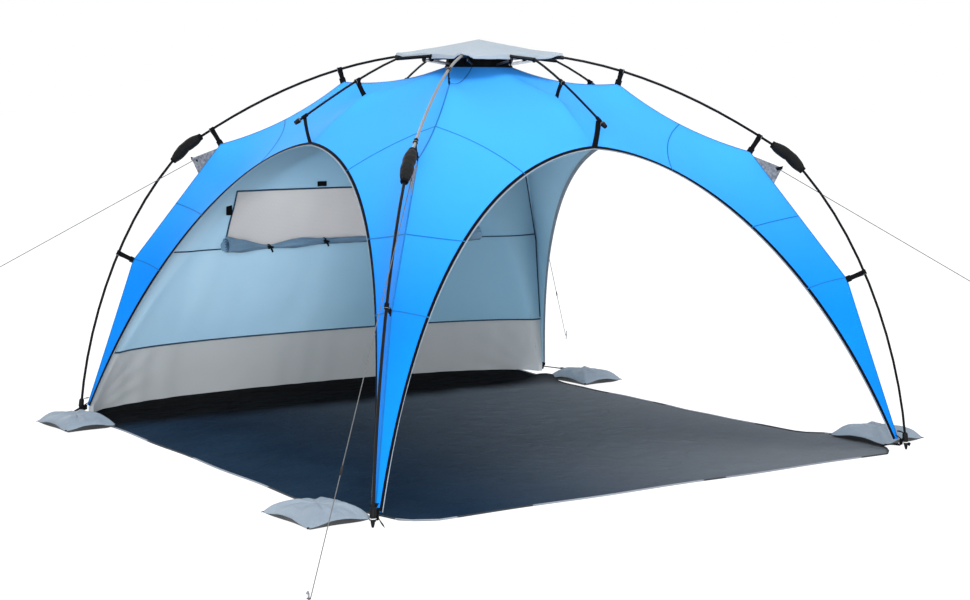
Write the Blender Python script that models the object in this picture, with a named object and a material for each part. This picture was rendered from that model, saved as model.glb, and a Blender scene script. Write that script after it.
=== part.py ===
"""Self-erecting beach pavilion with an outside frame.

A hub carries four bent corner arms with folding elbows, and four short side arms. The canopy hangs
under them on webbing straps, over a groundsheet with a sloping back wall. Metres, +Z up. The origin
is on the ground under the hub, midway between the feet, and the back wall is on the +Y side.
"""

import math

import bmesh
import bpy
from mathutils import Matrix, Vector

# Hub
HINGE_REACH = 0.072
HINGE_HEIGHT = 1.522
CROWN_RADIUS = 0.052
CROWN_THICKNESS = 0.034
FLANGE_RADIUS = 0.062
FLANGE_THICKNESS = 0.003
SPINDLE_RADIUS = 0.012
SPINDLE_LENGTH = 0.300
SPINDLE_RISE = 0.010
RUNNER_RADIUS = 0.045
RUNNER_THICKNESS = 0.026
SLOT_LENGTH = 0.0128
EYE_HALF_WIDTH = 0.003
PIN_RADIUS = 0.0025
LUG_THICKNESS = 0.003
LUG_ROUND = 0.0085

# Corner arms and legs, in the upright plane of each corner: reach from the hub axis, height
SOCKET_REACH = 0.340
SOCKET_DROP = 0.014
SOCKET_RADIUS = 0.0085
SOCKET_DEPTH = 0.055
POLE_RADIUS = 0.0055
ELBOW_REACH = 1.225
ELBOW_DROP = 0.385
FOOT_REACH = 1.700
FOOT_HEIGHT = 0.046
ARM_START_SLOPE = math.radians(-8.0)
ARM_END_SLOPE = math.radians(-34.0)
ARM_HANDLE = 0.32
LEG_START_SLOPE = math.radians(-44.0)
LEG_END_SLOPE = math.radians(-84.0)
LEG_TOP_HANDLE = 0.36
LEG_FOOT_HANDLE = 0.40
POLE_POINTS = 12
SEAM_STEPS = 2
ARCH_STEPS = 3
LEG_STEPS = (3, 4, 5)

# Elbow fittings
ELBOW_NECK = 0.027
FERRULE_RADIUS = 0.008
FERRULE_LENGTH = 0.034
CHEEK_HALF_HEIGHT = 0.0075
TONGUE_HALF_WIDTH = 0.0046
ELBOW_PIN_RADIUS = 0.003
ELBOW_TWIST = 1.2
SLEEVE_HALF_LENGTH = 0.082
SLEEVE_RADIUS = 0.0225
SLEEVE_BORE = 0.0130
SLEEVE_END_RADIUS = 0.0115

# Feet
FOOT_RADIUS = 0.0120
FOOT_TIP_RADIUS = 0.0055
FOOT_CUP_DEPTH = 0.030
FOOT_CONE_HEIGHT = 0.012
FOOT_LIFT = 0.0009

# Side arms
STRUT_SOCKET_REACH = 0.380
STRUT_SOCKET_DROP = 0.024
STRUT_TIP_REACH = 0.812
STRUT_TIP_DROP = 0.260
STRUT_SAG_HANDLE = 0.15
STRUT_START_SLOPE = math.radians(-21.0)
STRUT_END_SLOPE = math.radians(-32.0)
STRUT_RADIUS = 0.0045
STRUT_SOCKET_RADIUS = 0.0075
STRUT_KNOB_RADIUS = 0.010

# Links between the runner and the arms
BRACKET_REACH = 0.150
BRACKET_DROP = 0.0260
PLATE_THICKNESS = 0.0023
LINK_THICKNESS = 0.004
LINK_HALF_HEIGHT = 0.0042
LINK_EYE_RADIUS = 0.0058

# Canopy
COLLAR_REACH = 0.130
COLLAR_DROP = 0.052
CLOTH = 0.0012
STRAP_WIDTH = 0.025
STRAP_THICKNESS = 0.002
TOP_STRAP_AT = 0.245
SHOULDER_STRAP_AT = 0.860
SHIN_STRAP_AT = 0.460
TOP_STRAP_DROP = 0.052
SHOULDER_STRAP_DROP = 0.070
SHIN_STRAP_DROP = 0.071
COLLAR_SAG = 0.026
SHOULDER_SAG = 0.030
STRUT_STRAP_AT = 0.400
STRUT_STRAP_DROP = 0.062
CROWN_DROP = 0.086
CROWN_TUCK = 0.052
RIDGE_SEAM_REACH = 0.800
TIP_REACH = 1.672
TIP_HEIGHT = 0.045
TIP_HALF_WIDTH = 0.017
ARCH_SEAM_AT = 0.800
SEAM_GAP = 0.003
ARCH_FOOT_HANDLE = Vector((-0.228, -0.182, 0.656))
ARCH_CROWN_HANDLE = Vector((0.500, 0.013, -0.033))
PATCH_TIP_REACH = 1.200
PATCH_TIP_DROP = 0.047
PATCH_THICKNESS = 0.0016

# Back wall and its window
WALL_BULGE = 0.270
WALL_LIFT = 0.0034
WALL_EDGE_DROP = 0.0010
WALL_EDGE_GAP = 0.0004
BAND_HEIGHT = 0.267
WINDOW_HALF_WIDTH = 0.480
WINDOW_BOTTOM = 0.700
WINDOW_TOP = 0.940
ROLL_RADIUS = 0.019
ROLL_HALF_LENGTH = 0.640
ROLL_SEAT = 1.18

# Groundsheet
FLOOR_THICKNESS = 0.002
FLOOR_LEFT = 1.205
FLOOR_RIGHT = 1.060
FLOOR_FRONT = 1.205

# Sand pockets
BAG_WIDTH = 0.330
BAG_LENGTH = 0.460
BAG_HEIGHT = 0.072
BAG_X = 1.235
BAG_FOOT_SHARE = 0.925
BAG_Y = 0.930

# Rain cap
CAP_REACH = 0.335
CAP_PEAK = 0.052
CAP_CLEARANCE = 0.0082
CAP_EDGE_SAG = 0.005

# Guy lines: reach from the hub axis to each peg
GUY_REACH = {"front_left": 2.60, "front_right": 3.05, "back_right": 2.83, "back_left": 3.15}
GUY_DIAMETER = 0.003
GUY_SIDE = 0.050
PEG_HEIGHT = 0.045
PEG_RADIUS = 0.003
PEG_LEAN = 0.006

# Clearances
GAP = 0.0003
RUNNING_GAP = 0.0004
LOOP_GAP = 0.0007
FOOT_GAP = 0.0014

CORNERS = {"front_left": 225.0, "front_right": 315.0, "back_right": 45.0, "back_left": 135.0}
SIDES = {"front": 270.0, "right": 0.0, "back": 90.0, "left": 180.0}
FINISHES = {
    "pole_black": ((0.012, 0.012, 0.013), 0.35, 0.0),
    "hub_black": ((0.010, 0.010, 0.011), 0.45, 0.0),
    "link_steel": ((0.30, 0.31, 0.33), 0.35, 0.9),
    "canopy_blue": ((0.05, 0.37, 0.90), 0.65, 0.0),
    "wall_pale": ((0.42, 0.52, 0.58), 0.75, 0.0),
    "mesh_sand": ((0.50, 0.49, 0.47), 0.85, 0.0),
    "ground_navy": ((0.035, 0.045, 0.060), 0.60, 0.0),
    "pocket_grey": ((0.42, 0.46, 0.52), 0.70, 0.0),
    "cap_grey": ((0.56, 0.61, 0.68), 0.65, 0.0),
    "sleeve_black": ((0.008, 0.008, 0.009), 0.90, 0.0),
    "guy_cord": ((0.35, 0.35, 0.35), 0.80, 0.0),
    "peg_steel": ((0.45, 0.45, 0.46), 0.35, 1.0),
}


def start_scene():
    for old in list(bpy.data.objects):
        bpy.data.objects.remove(old, do_unlink=True)
    tent = bpy.data.collections.new("beach_pavilion")
    bpy.context.scene.collection.children.link(tent)
    return tent


def finish(name):
    """The named finish as a Principled material, made once."""
    if name in bpy.data.materials:
        return bpy.data.materials[name]
    colour, roughness, metallic = FINISHES[name]
    material = bpy.data.materials.new(name)
    material.use_nodes = True
    shader = material.node_tree.nodes["Principled BSDF"]
    shader.inputs["Base Color"].default_value = (*colour, 1.0)
    shader.inputs["Roughness"].default_value = roughness
    shader.inputs["Metallic"].default_value = metallic
    return material


def place(mesh, name, material, turn=0.0, at=(0, 0, 0), origin=Vector((0, 0, 0))):
    """One named object for a mesh, turned about the hub's axis, with its origin on its joint."""
    mesh.transform(Matrix.Translation(-origin))
    obj = bpy.data.objects.new(name, mesh)
    TENT.objects.link(obj)
    mesh.name = name
    mesh.materials.clear()
    mesh.materials.append(finish(material))
    obj.rotation_euler = (0, 0, math.radians(turn))
    obj.location = Vector(at) + Matrix.Rotation(math.radians(turn), 3, "Z") @ origin
    return obj


def mesh_of(bm, name, smooth=True):
    bmesh.ops.recalc_face_normals(bm, faces=bm.faces)
    mesh = bpy.data.meshes.new(name)
    bm.to_mesh(mesh)
    bm.free()
    if smooth:
        mesh.shade_smooth()
        mesh.set_sharp_from_angle(angle=math.radians(35))
    return mesh


def cylinder(radius, depth, middle, axis=Vector((0, 0, 1)), radius_end=None, sides=12):
    """A cylinder or cone about an axis, as a bmesh."""
    bm = bmesh.new()
    end = radius if radius_end is None else radius_end
    bmesh.ops.create_cone(
        bm, cap_ends=True, segments=sides, radius1=radius, radius2=end, depth=depth
    )
    turn = Vector((0, 0, 1)).rotation_difference(axis).to_matrix().to_4x4()
    bmesh.ops.transform(bm, matrix=Matrix.Translation(middle) @ turn, verts=bm.verts)
    return bm


def combine(name, base, joined=(), cut=()):
    """One closed mesh: a base bmesh with others joined on, then others cut away."""
    main = bpy.data.objects.new(name, mesh_of(base, name, smooth=False))
    bpy.context.scene.collection.objects.link(main)
    helpers = []
    for operation, shapes in (("UNION", joined), ("DIFFERENCE", cut)):
        for number, bm in enumerate(shapes):
            helper_name = f"{name}_{operation.lower()}_{number}"
            helper = bpy.data.objects.new(helper_name, mesh_of(bm, helper_name, smooth=False))
            bpy.context.scene.collection.objects.link(helper)
            helpers.append(helper)
            modifier = main.modifiers.new(helper_name, "BOOLEAN")
            modifier.operation = operation
            modifier.object = helper
    graph = bpy.context.evaluated_depsgraph_get()
    graph.update()
    mesh = bpy.data.meshes.new_from_object(main.evaluated_get(graph))
    mesh.name = name
    for used in [main, *helpers]:
        bpy.data.objects.remove(used, do_unlink=True)
    mesh.shade_smooth()
    mesh.set_sharp_from_angle(angle=math.radians(35))
    return mesh


def bezier(start, start_handle, end_handle, end, steps):
    """Points along one cubic curve."""
    points = []
    for step in range(steps + 1):
        t = step / steps
        s = 1.0 - t
        points.append(
            s**3 * start + 3 * s * s * t * start_handle + 3 * s * t * t * end_handle + t**3 * end
        )
    return points


def sloped(slope, length):
    """A step in the upright plane along a slope."""
    return Vector((math.cos(slope) * length, 0, math.sin(slope) * length))


def along(points, fraction):
    """The point and direction at a fraction of a list of points."""
    place_on = fraction * (len(points) - 1)
    first = min(int(place_on), len(points) - 2)
    step = points[first + 1] - points[first]
    return points[first] + step * (place_on - first), step.normalized()


def under(points, fraction, drop):
    """The point a drop below a pole, square to it, in its upright plane."""
    point, heading = along(points, fraction)
    return point + Vector((heading.z, 0, -heading.x)).normalized() * drop


def rod(points, radius):
    """A bent rod as a bmesh: a bevelled curve with its caps welded on."""
    curve = bpy.data.curves.new("rod", "CURVE")
    curve.dimensions = "3D"
    curve.bevel_depth = radius
    curve.bevel_resolution = 1
    curve.use_fill_caps = True
    spline = curve.splines.new("POLY")
    spline.points.add(len(points) - 1)
    for point, place_of in zip(spline.points, points):
        point.co = (*place_of, 1.0)
    helper = bpy.data.objects.new("rod", curve)
    bpy.context.scene.collection.objects.link(helper)
    graph = bpy.context.evaluated_depsgraph_get()
    graph.update()
    mesh = bpy.data.meshes.new_from_object(helper.evaluated_get(graph))
    bpy.data.objects.remove(helper, do_unlink=True)
    bm = bmesh.new()
    bm.from_mesh(mesh)
    bmesh.ops.remove_doubles(bm, verts=bm.verts, dist=1e-5)
    bpy.data.meshes.remove(mesh)
    return bm


def sheet(rows, thickness, closed=False, hole=None):
    """A sheet of cloth through rows of points, with its thickness. A hole leaves out the cells
    whose row and column numbers it holds."""
    bm = bmesh.new()
    grid = [[bm.verts.new(point) for point in row] for row in rows]
    wide = len(rows[0])
    for i in range(len(rows) - 1):
        for j in range(wide if closed else wide - 1):
            if hole and (i, j) in hole:
                continue
            k = (j + 1) % wide
            bm.faces.new((grid[i][j], grid[i + 1][j], grid[i + 1][k], grid[i][k]))
    loose = [v for v in bm.verts if not v.link_faces]
    bmesh.ops.delete(bm, geom=loose, context="VERTS")
    bmesh.ops.remove_doubles(bm, verts=bm.verts, dist=1e-5)
    bmesh.ops.recalc_face_normals(bm, faces=bm.faces)
    bmesh.ops.triangulate(bm, faces=bm.faces)
    bmesh.ops.solidify(bm, geom=bm.faces, thickness=thickness)
    return bm


def band(start, end, width, thickness, side=Vector((0, 1, 0))):
    """A flat strap from one point to another, its width along the side direction."""
    heading = end - start
    square = heading.cross(side).normalized() * thickness / 2
    across = side.normalized() * width / 2
    bm = bmesh.new()
    bmesh.ops.create_cube(bm, size=2.0)
    frame = Matrix((across, square, heading / 2)).transposed().to_4x4()
    frame.translation = (start + end) / 2
    bmesh.ops.transform(bm, matrix=frame, verts=bm.verts)
    return bm


TENT = start_scene()

ARM_HINGE = Vector((HINGE_REACH, 0, HINGE_HEIGHT))
SOCKET_END = Vector((SOCKET_REACH, 0, HINGE_HEIGHT - SOCKET_DROP))
ELBOW = Vector((ELBOW_REACH, 0, HINGE_HEIGHT - ELBOW_DROP))
FOOT_TOP = Vector((FOOT_REACH, 0, FOOT_HEIGHT))
ARM_POINTS = bezier(
    SOCKET_END,
    SOCKET_END + sloped(ARM_START_SLOPE, ARM_HANDLE),
    ELBOW - sloped(ARM_END_SLOPE, ARM_HANDLE),
    ELBOW,
    POLE_POINTS,
)
LEG_POINTS = bezier(
    ELBOW,
    ELBOW + sloped(LEG_START_SLOPE, LEG_TOP_HANDLE),
    FOOT_TOP - sloped(LEG_END_SLOPE, LEG_FOOT_HANDLE),
    FOOT_TOP,
    POLE_POINTS,
)
STRUT_SOCKET = Vector((STRUT_SOCKET_REACH, 0, HINGE_HEIGHT - STRUT_SOCKET_DROP))
STRUT_TIP = Vector((STRUT_TIP_REACH, 0, HINGE_HEIGHT - STRUT_TIP_DROP))
STRUT_POINTS = bezier(
    STRUT_SOCKET,
    STRUT_SOCKET + sloped(STRUT_START_SLOPE, STRUT_SAG_HANDLE),
    STRUT_TIP - sloped(STRUT_END_SLOPE, STRUT_SAG_HANDLE),
    STRUT_TIP,
    7,
)


def prism(outline, middle, depth):
    """A plate: an outline in the upright plane, with a depth across it."""
    bm = bmesh.new()
    near = [bm.verts.new((x, middle - depth / 2, z)) for x, z in outline]
    far = [bm.verts.new((x, middle + depth / 2, z)) for x, z in outline]
    count = len(outline)
    bm.faces.new(near)
    bm.faces.new(far)
    for i in range(count):
        j = (i + 1) % count
        bm.faces.new((near[i], near[j], far[j], far[i]))
    return bm


def stadium(start, end, radius, half_height=None, steps=4):
    """The outline of a bar with round ends, a pair of numbers for each point."""
    heading = (end - start).normalized()
    square = Vector((-heading.z, 0, heading.x))
    low = radius if half_height is None else half_height
    lean = math.asin(low / radius)
    outline = []
    for middle, facing in ((end, heading), (start, -heading)):
        side = square if middle is end else -square
        for step in range(steps + 1):
            angle = (math.pi - lean) - (2 * math.pi - 2 * lean) * step / steps
            point = middle + facing * radius * math.cos(angle) + side * radius * math.sin(angle)
            outline.append((point.x, point.z))
    return outline


def pin(middle, radius, length):
    return cylinder(radius, length, middle, axis=Vector((0, 1, 0)), sides=8)


def turned(bm, degrees, middle=Vector((0, 0, 0))):
    """A shape turned about an upright line."""
    move = Matrix.Translation(middle) @ Matrix.Rotation(math.radians(degrees), 4, "Z")
    bmesh.ops.transform(bm, matrix=move @ Matrix.Translation(-middle), verts=bm.verts)
    return bm


def shape(mesh):
    bm = bmesh.new()
    bm.from_mesh(mesh)
    return bm


def loft(rings, ring_shut=False):
    """A closed body through rings of points, its ends capped or joined to each other."""
    bm = bmesh.new()
    grid = [[bm.verts.new(point) for point in ring] for ring in rings]
    wide = len(rings[0])
    for i in range(len(rings) if ring_shut else len(rings) - 1):
        after = grid[(i + 1) % len(rings)]
        for j in range(wide):
            k = (j + 1) % wide
            bm.faces.new((grid[i][j], after[j], after[k], grid[i][k]))
    if not ring_shut:
        bm.faces.new(grid[0])
        bm.faces.new(grid[-1])
    return bm


def ring_about(point, heading, radius, sides=8):
    """Points round a direction in the upright plane."""
    square = Vector((-heading.z, 0, heading.x))
    across = Vector((0, 1, 0))
    return [
        point
        + square * radius * math.cos(2 * math.pi * k / sides)
        + across * radius * math.sin(2 * math.pi * k / sides)
        for k in range(sides)
    ]


def loop_on(points, fraction, radius, width):
    """A webbing loop round a pole."""
    point, heading = along(points, fraction)
    rings = []
    for offset, size in (
        (-width / 2, radius + STRAP_THICKNESS),
        (width / 2, radius + STRAP_THICKNESS),
        (width / 2, radius),
        (-width / 2, radius),
    ):
        rings.append(ring_about(point + heading * offset, heading, size))
    return loft(rings, ring_shut=True)


def hang(start, end, sag, steps):
    """Points from start to end with a sag square to the line, without the last one."""
    heading = (end - start).normalized()
    down = Vector((heading.z, 0, -heading.x))
    if down.z > 0:
        down = -down
    return [
        start.lerp(end, s / steps) + down * sag * 4 * (s / steps) * (1 - s / steps)
        for s in range(steps)
    ]


def resample(points, count, first=0.0, last=1.0):
    """Points evenly along a line of points, between two fractions of its length."""
    lengths = [0.0]
    for a, b in zip(points, points[1:]):
        lengths.append(lengths[-1] + (b - a).length)
    found = []
    for n in range(count + 1):
        target = (first + (last - first) * n / count) * lengths[-1]
        i = 0
        while i < len(points) - 2 and lengths[i + 1] < target:
            i += 1
        part = (target - lengths[i]) / max(lengths[i + 1] - lengths[i], 1e-9)
        found.append(points[i].lerp(points[i + 1], part))
    return found


def through(points, stations, counts):
    """Points along a line that fall exactly on stations, which are fractions of its length."""
    found = []
    for first, last, count in zip(stations, stations[1:], counts):
        found += resample(points, count, first, last)[:-1]
    return found + [resample(points, 1, stations[-2], stations[-1])[-1]]


# Hub: a crown with a pair of lugs for each arm, a spindle, and the runner below the crown
def hinge_lug(pin_at, root, drop, half_width):
    """Two plates from a root reach out past a pin, or past an upright slot of that drop."""
    low = Vector((pin_at.x, 0, pin_at.z - drop))
    high_outline = stadium(Vector((root, 0, pin_at.z)), pin_at, LUG_ROUND)
    low_outline = stadium(Vector((root, 0, low.z)), low, LUG_ROUND)
    half = len(high_outline) // 4
    outline = high_outline[: half + 1] + low_outline[half : 2 * half + 1]
    outline += [(root, low.z - LUG_ROUND), (root, pin_at.z + LUG_ROUND)]
    plates = []
    for side in (-1, 1):
        middle = side * (half_width + RUNNING_GAP + LUG_THICKNESS / 2)
        plates.append(prism(outline, middle, LUG_THICKNESS))
    return plates


def hub_crown():
    middle = Vector((0, 0, HINGE_HEIGHT))
    body = cylinder(CROWN_RADIUS, CROWN_THICKNESS, middle, sides=32)
    flange = cylinder(
        FLANGE_RADIUS,
        FLANGE_THICKNESS,
        middle + Vector((0, 0, CROWN_THICKNESS / 2 + FLANGE_THICKNESS / 2 - 0.001)),
        sides=32,
    )
    joined = [flange]
    span = 2 * (EYE_HALF_WIDTH + RUNNING_GAP + LUG_THICKNESS)
    for angle in range(0, 360, 45):
        parts = hinge_lug(ARM_HINGE, CROWN_RADIUS - 0.008, 0.0, EYE_HALF_WIDTH)
        lug = combine("lug", parts[0], [pin(ARM_HINGE, PIN_RADIUS, span - 0.0004), parts[1]])
        joined.append(turned(shape(lug), angle))
    socket = cylinder(
        SPINDLE_RADIUS + GAP,
        0.06,
        Vector((0, 0, HINGE_HEIGHT + SPINDLE_RISE + GAP - 0.03)),
        sides=24,
    )
    return combine("hub_crown", body, joined, [socket])


def hub_runner():
    body = cylinder(RUNNER_RADIUS, RUNNER_THICKNESS, Vector((0, 0, RUNNER_PIN.z)), sides=32)
    joined, cut = [], []
    for angle in range(0, 360, 45):
        for part in hinge_lug(RUNNER_PIN, RUNNER_RADIUS - 0.008, SLOT_LENGTH, LINK_THICKNESS / 2):
            joined.append(turned(part, angle))
        slot = stadium(
            RUNNER_PIN, RUNNER_PIN - Vector((0, 0, SLOT_LENGTH)), PIN_RADIUS + RUNNING_GAP
        )
        cut.append(turned(prism(slot, 0, 0.03), angle))
    cut.append(
        cylinder(SPINDLE_RADIUS + RUNNING_GAP, 0.1, Vector((0, 0, RUNNER_PIN.z)), sides=32)
    )
    return combine("hub_runner", body, joined, cut)


def arm_socket(name, end, radius, bore_depth):
    """A moulded arm root: an eye on the crown's pin, the bracket for its link, and a bored tube."""
    heading = (end - ARM_HINGE).normalized()
    start = ARM_HINGE + heading * (LUG_ROUND + 0.0025)
    tube = rod([start, start.lerp(end, 0.5), end], radius)
    neck_end = ARM_HINGE + heading * 0.024
    eye = prism(stadium(ARM_HINGE, neck_end, 0.0068), 0, 2 * EYE_HALF_WIDTH)
    cheeks = []
    half = LINK_THICKNESS / 2 + RUNNING_GAP
    tube_at = ARM_HINGE + heading * (LINK_PIN - ARM_HINGE).dot(heading)
    for side in (-1, 1):
        cheek = prism(
            stadium(LINK_PIN, tube_at, 0.0080), side * (half + PLATE_THICKNESS / 2),
            PLATE_THICKNESS,
        )
        cheeks.append(cheek)
    rivet = pin(LINK_PIN, PIN_RADIUS, 2 * (half + PLATE_THICKNESS) + 0.002)
    cut = [pin(ARM_HINGE, PIN_RADIUS + RUNNING_GAP, 0.02)]
    if bore_depth:
        cut.append(
            cylinder(
                POLE_RADIUS + GAP,
                2 * bore_depth,
                end,
                axis=heading,
                sides=16,
            )
        )
    return combine(name, tube, [eye, *cheeks, rivet], cut)


def link():
    """A flat link: an eye on the arm's pin, and a cross pin in the runner's slots."""
    bar = prism(
        stadium(RUNNER_PIN, LINK_PIN, LINK_EYE_RADIUS, LINK_HALF_HEIGHT), 0, LINK_THICKNESS
    )
    cross = pin(RUNNER_PIN, PIN_RADIUS, LINK_THICKNESS + 2 * (RUNNING_GAP + LUG_THICKNESS) + 0.001)
    return combine(
        "link", bar, [cross], [pin(LINK_PIN, PIN_RADIUS + RUNNING_GAP, 0.02)]
    )


def arm_pole():
    """The bent upper pole with the fork half of the elbow and its pin."""
    heading = (SOCKET_END - ARM_HINGE).normalized()
    inside = SOCKET_END - heading * (SOCKET_DEPTH - 0.002)
    points = [inside, SOCKET_END + heading * 0.006]
    points += ARM_POINTS[1:-1]
    end_heading = sloped(ARM_END_SLOPE, 1.0)
    neck = ELBOW - end_heading * ELBOW_NECK
    points = [p for p in points if (p - ELBOW).length > ELBOW_NECK + 0.004] + [neck]
    tube = rod(points, POLE_RADIUS)
    ferrule = cylinder(
        FERRULE_RADIUS, FERRULE_LENGTH, neck - end_heading * (FERRULE_LENGTH / 2 - 0.006),
        axis=end_heading, sides=12,
    )
    parts = [ferrule]
    for side in (-1, 1):
        cheek = prism(
            stadium(neck - end_heading * 0.004, ELBOW, CHEEK_HALF_HEIGHT),
            side * (TONGUE_HALF_WIDTH + 0.0006 + 0.0015),
            0.003,
        )
        parts.append(turned(cheek, ELBOW_TWIST, ELBOW))
    length = 2 * (TONGUE_HALF_WIDTH + 0.0006 + 0.003) + 0.0016
    parts.append(turned(pin(ELBOW, ELBOW_PIN_RADIUS, length), ELBOW_TWIST, ELBOW))
    return combine("arm_pole", tube, parts)


def leg_pole():
    """The bent lower pole with the tongue half of the elbow."""
    heading = sloped(LEG_START_SLOPE, 1.0)
    neck = ELBOW + heading * ELBOW_NECK
    points = [neck] + [p for p in LEG_POINTS[1:] if (p - ELBOW).length > ELBOW_NECK + 0.004]
    tube = rod(points, POLE_RADIUS)
    ferrule = cylinder(
        FERRULE_RADIUS, FERRULE_LENGTH, neck + heading * (FERRULE_LENGTH / 2 - 0.006),
        axis=heading, sides=12,
    )
    tongue = prism(
        stadium(neck + heading * 0.004, ELBOW, CHEEK_HALF_HEIGHT - 0.0008),
        0,
        2 * TONGUE_HALF_WIDTH,
    )
    hole = turned(pin(ELBOW, ELBOW_PIN_RADIUS + RUNNING_GAP, 0.03), ELBOW_TWIST, ELBOW)
    return combine("leg_pole", tube, [ferrule, turned(tongue, ELBOW_TWIST, ELBOW)], [hole])


def elbow_sleeve():
    """The padded cover over an elbow, open at both ends."""
    before = sloped(ARM_END_SLOPE, 1.0)
    after = sloped(LEG_START_SLOPE, 1.0)
    outer, inner = [], []
    for step in range(-4, 5):
        part = step / 4
        reach = abs(part) * SLEEVE_HALF_LENGTH
        source = ARM_POINTS[::-1] if step < 0 else LEG_POINTS
        travelled, k = 0.0, 0
        while travelled < reach and k < len(source) - 2:
            travelled += (source[k + 1] - source[k]).length
            k += 1
        if k:
            step_back = (source[k] - source[k - 1]).normalized()
            middle = source[k] - step_back * (travelled - reach)
        else:
            middle = ELBOW.copy()
        lean = 0.5 + 0.5 * part
        heading = (before.lerp(after, lean)).normalized()
        bulge = 1 - abs(part) ** 2.4
        size = SLEEVE_END_RADIUS + (SLEEVE_RADIUS - SLEEVE_END_RADIUS) * bulge
        bore = SLEEVE_BORE if abs(part) < 0.9 else POLE_RADIUS + 0.0012
        outer.append(ring_about(middle, heading, size))
        inner.append(ring_about(middle, heading, min(bore, size - 0.002)))
    return mesh_of(loft(outer + inner[::-1], ring_shut=True), "elbow_sleeve")


def foot():
    """A rubber foot: a cup over the pole's end with a blunt tip."""
    heading = sloped(LEG_END_SLOPE, 1.0)
    depth = (FOOT_HEIGHT - FOOT_LIFT) / -heading.z
    tip = FOOT_TOP + heading * depth
    levels = (
        (0.0, FOOT_TIP_RADIUS),
        (FOOT_CONE_HEIGHT, FOOT_RADIUS - 0.001),
        (FOOT_CONE_HEIGHT + 0.012, FOOT_RADIUS),
        (depth + FOOT_CUP_DEPTH, FOOT_RADIUS - 0.002),
        (depth + FOOT_CUP_DEPTH, POLE_RADIUS + FOOT_GAP),
        (depth - FOOT_GAP / 2, POLE_RADIUS + FOOT_GAP),
    )
    rings = [ring_about(tip - heading * height, heading, radius) for height, radius in levels]
    return mesh_of(loft(rings), "foot")


def strut():
    """A side arm: its socket, thin rod and end knob are one piece."""
    socket = arm_socket("strut_socket", STRUT_SOCKET, STRUT_SOCKET_RADIUS, 0)
    heading = (STRUT_SOCKET - ARM_HINGE).normalized()
    points = [STRUT_SOCKET - heading * 0.02] + STRUT_POINTS
    end_heading = sloped(STRUT_END_SLOPE, 1.0)
    knob = cylinder(
        STRUT_KNOB_RADIUS, 0.022, STRUT_TIP + end_heading * 0.004, axis=end_heading,
        radius_end=STRUT_KNOB_RADIUS * 0.8, sides=12,
    )
    return combine("strut", shape(socket), [rod(points, STRUT_RADIUS), knob])


# Canopy lines, in the upright plane of a corner or of a side
def side_line():
    """The ridge under a side arm, from the collar to the top of the doorway."""
    strap = under(STRUT_POINTS, STRUT_STRAP_AT, STRUT_STRAP_DROP)
    points = hang(COLLAR, strap, 0.008, 5) + hang(strap, CROWN, -0.004, 4) + [CROWN]
    return points


def corner_line():
    """The ridge under a corner arm and leg, from the collar to the foot."""
    points = hang(COLLAR, TOP_STRAP, COLLAR_SAG, 6)
    points += hang(TOP_STRAP, SHOULDER_STRAP, SHOULDER_SAG, 8)
    points += hang(SHOULDER_STRAP, SHIN_STRAP, 0.0, 6)
    points += hang(SHIN_STRAP, TIP, 0.0, 7) + [TIP]
    return points


def local_arch():
    """The doorway's edge from its top down to the foot, in the frame of a corner on its left."""
    side = math.sqrt(0.5)
    reach = TIP_REACH - TIP_HALF_WIDTH
    foot_at = Vector(((reach - TIP_HALF_WIDTH) * side, (reach + TIP_HALF_WIDTH) * side, TIP_HEIGHT))
    crown_at = Vector((0, CROWN.x, CROWN.z))
    curve = bezier(
        crown_at, crown_at + ARCH_CROWN_HANDLE, foot_at + ARCH_FOOT_HANDLE, foot_at, 28
    )
    return [Vector(((p.x + p.y) * side, (p.y - p.x) * side, p.z)) for p in curve]


def mirrored(point):
    return Vector((point.x, -point.y, point.z))


def patch(left, right, top, bottom):
    """Rows of points that fill four edges, by blending between opposite edges."""
    rows = []
    high, wide = len(left) - 1, len(top) - 1
    for i in range(high + 1):
        u = i / high
        row = []
        for j in range(wide + 1):
            v = j / wide
            point = left[i] * (1 - v) + right[i] * v + top[j] * (1 - u) + bottom[j] * u
            point -= top[0] * (1 - u) * (1 - v) + top[-1] * (1 - u) * v
            point -= bottom[0] * u * (1 - v) + bottom[-1] * u * v
            row.append(point)
        rows.append(row)
    return rows


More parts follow.
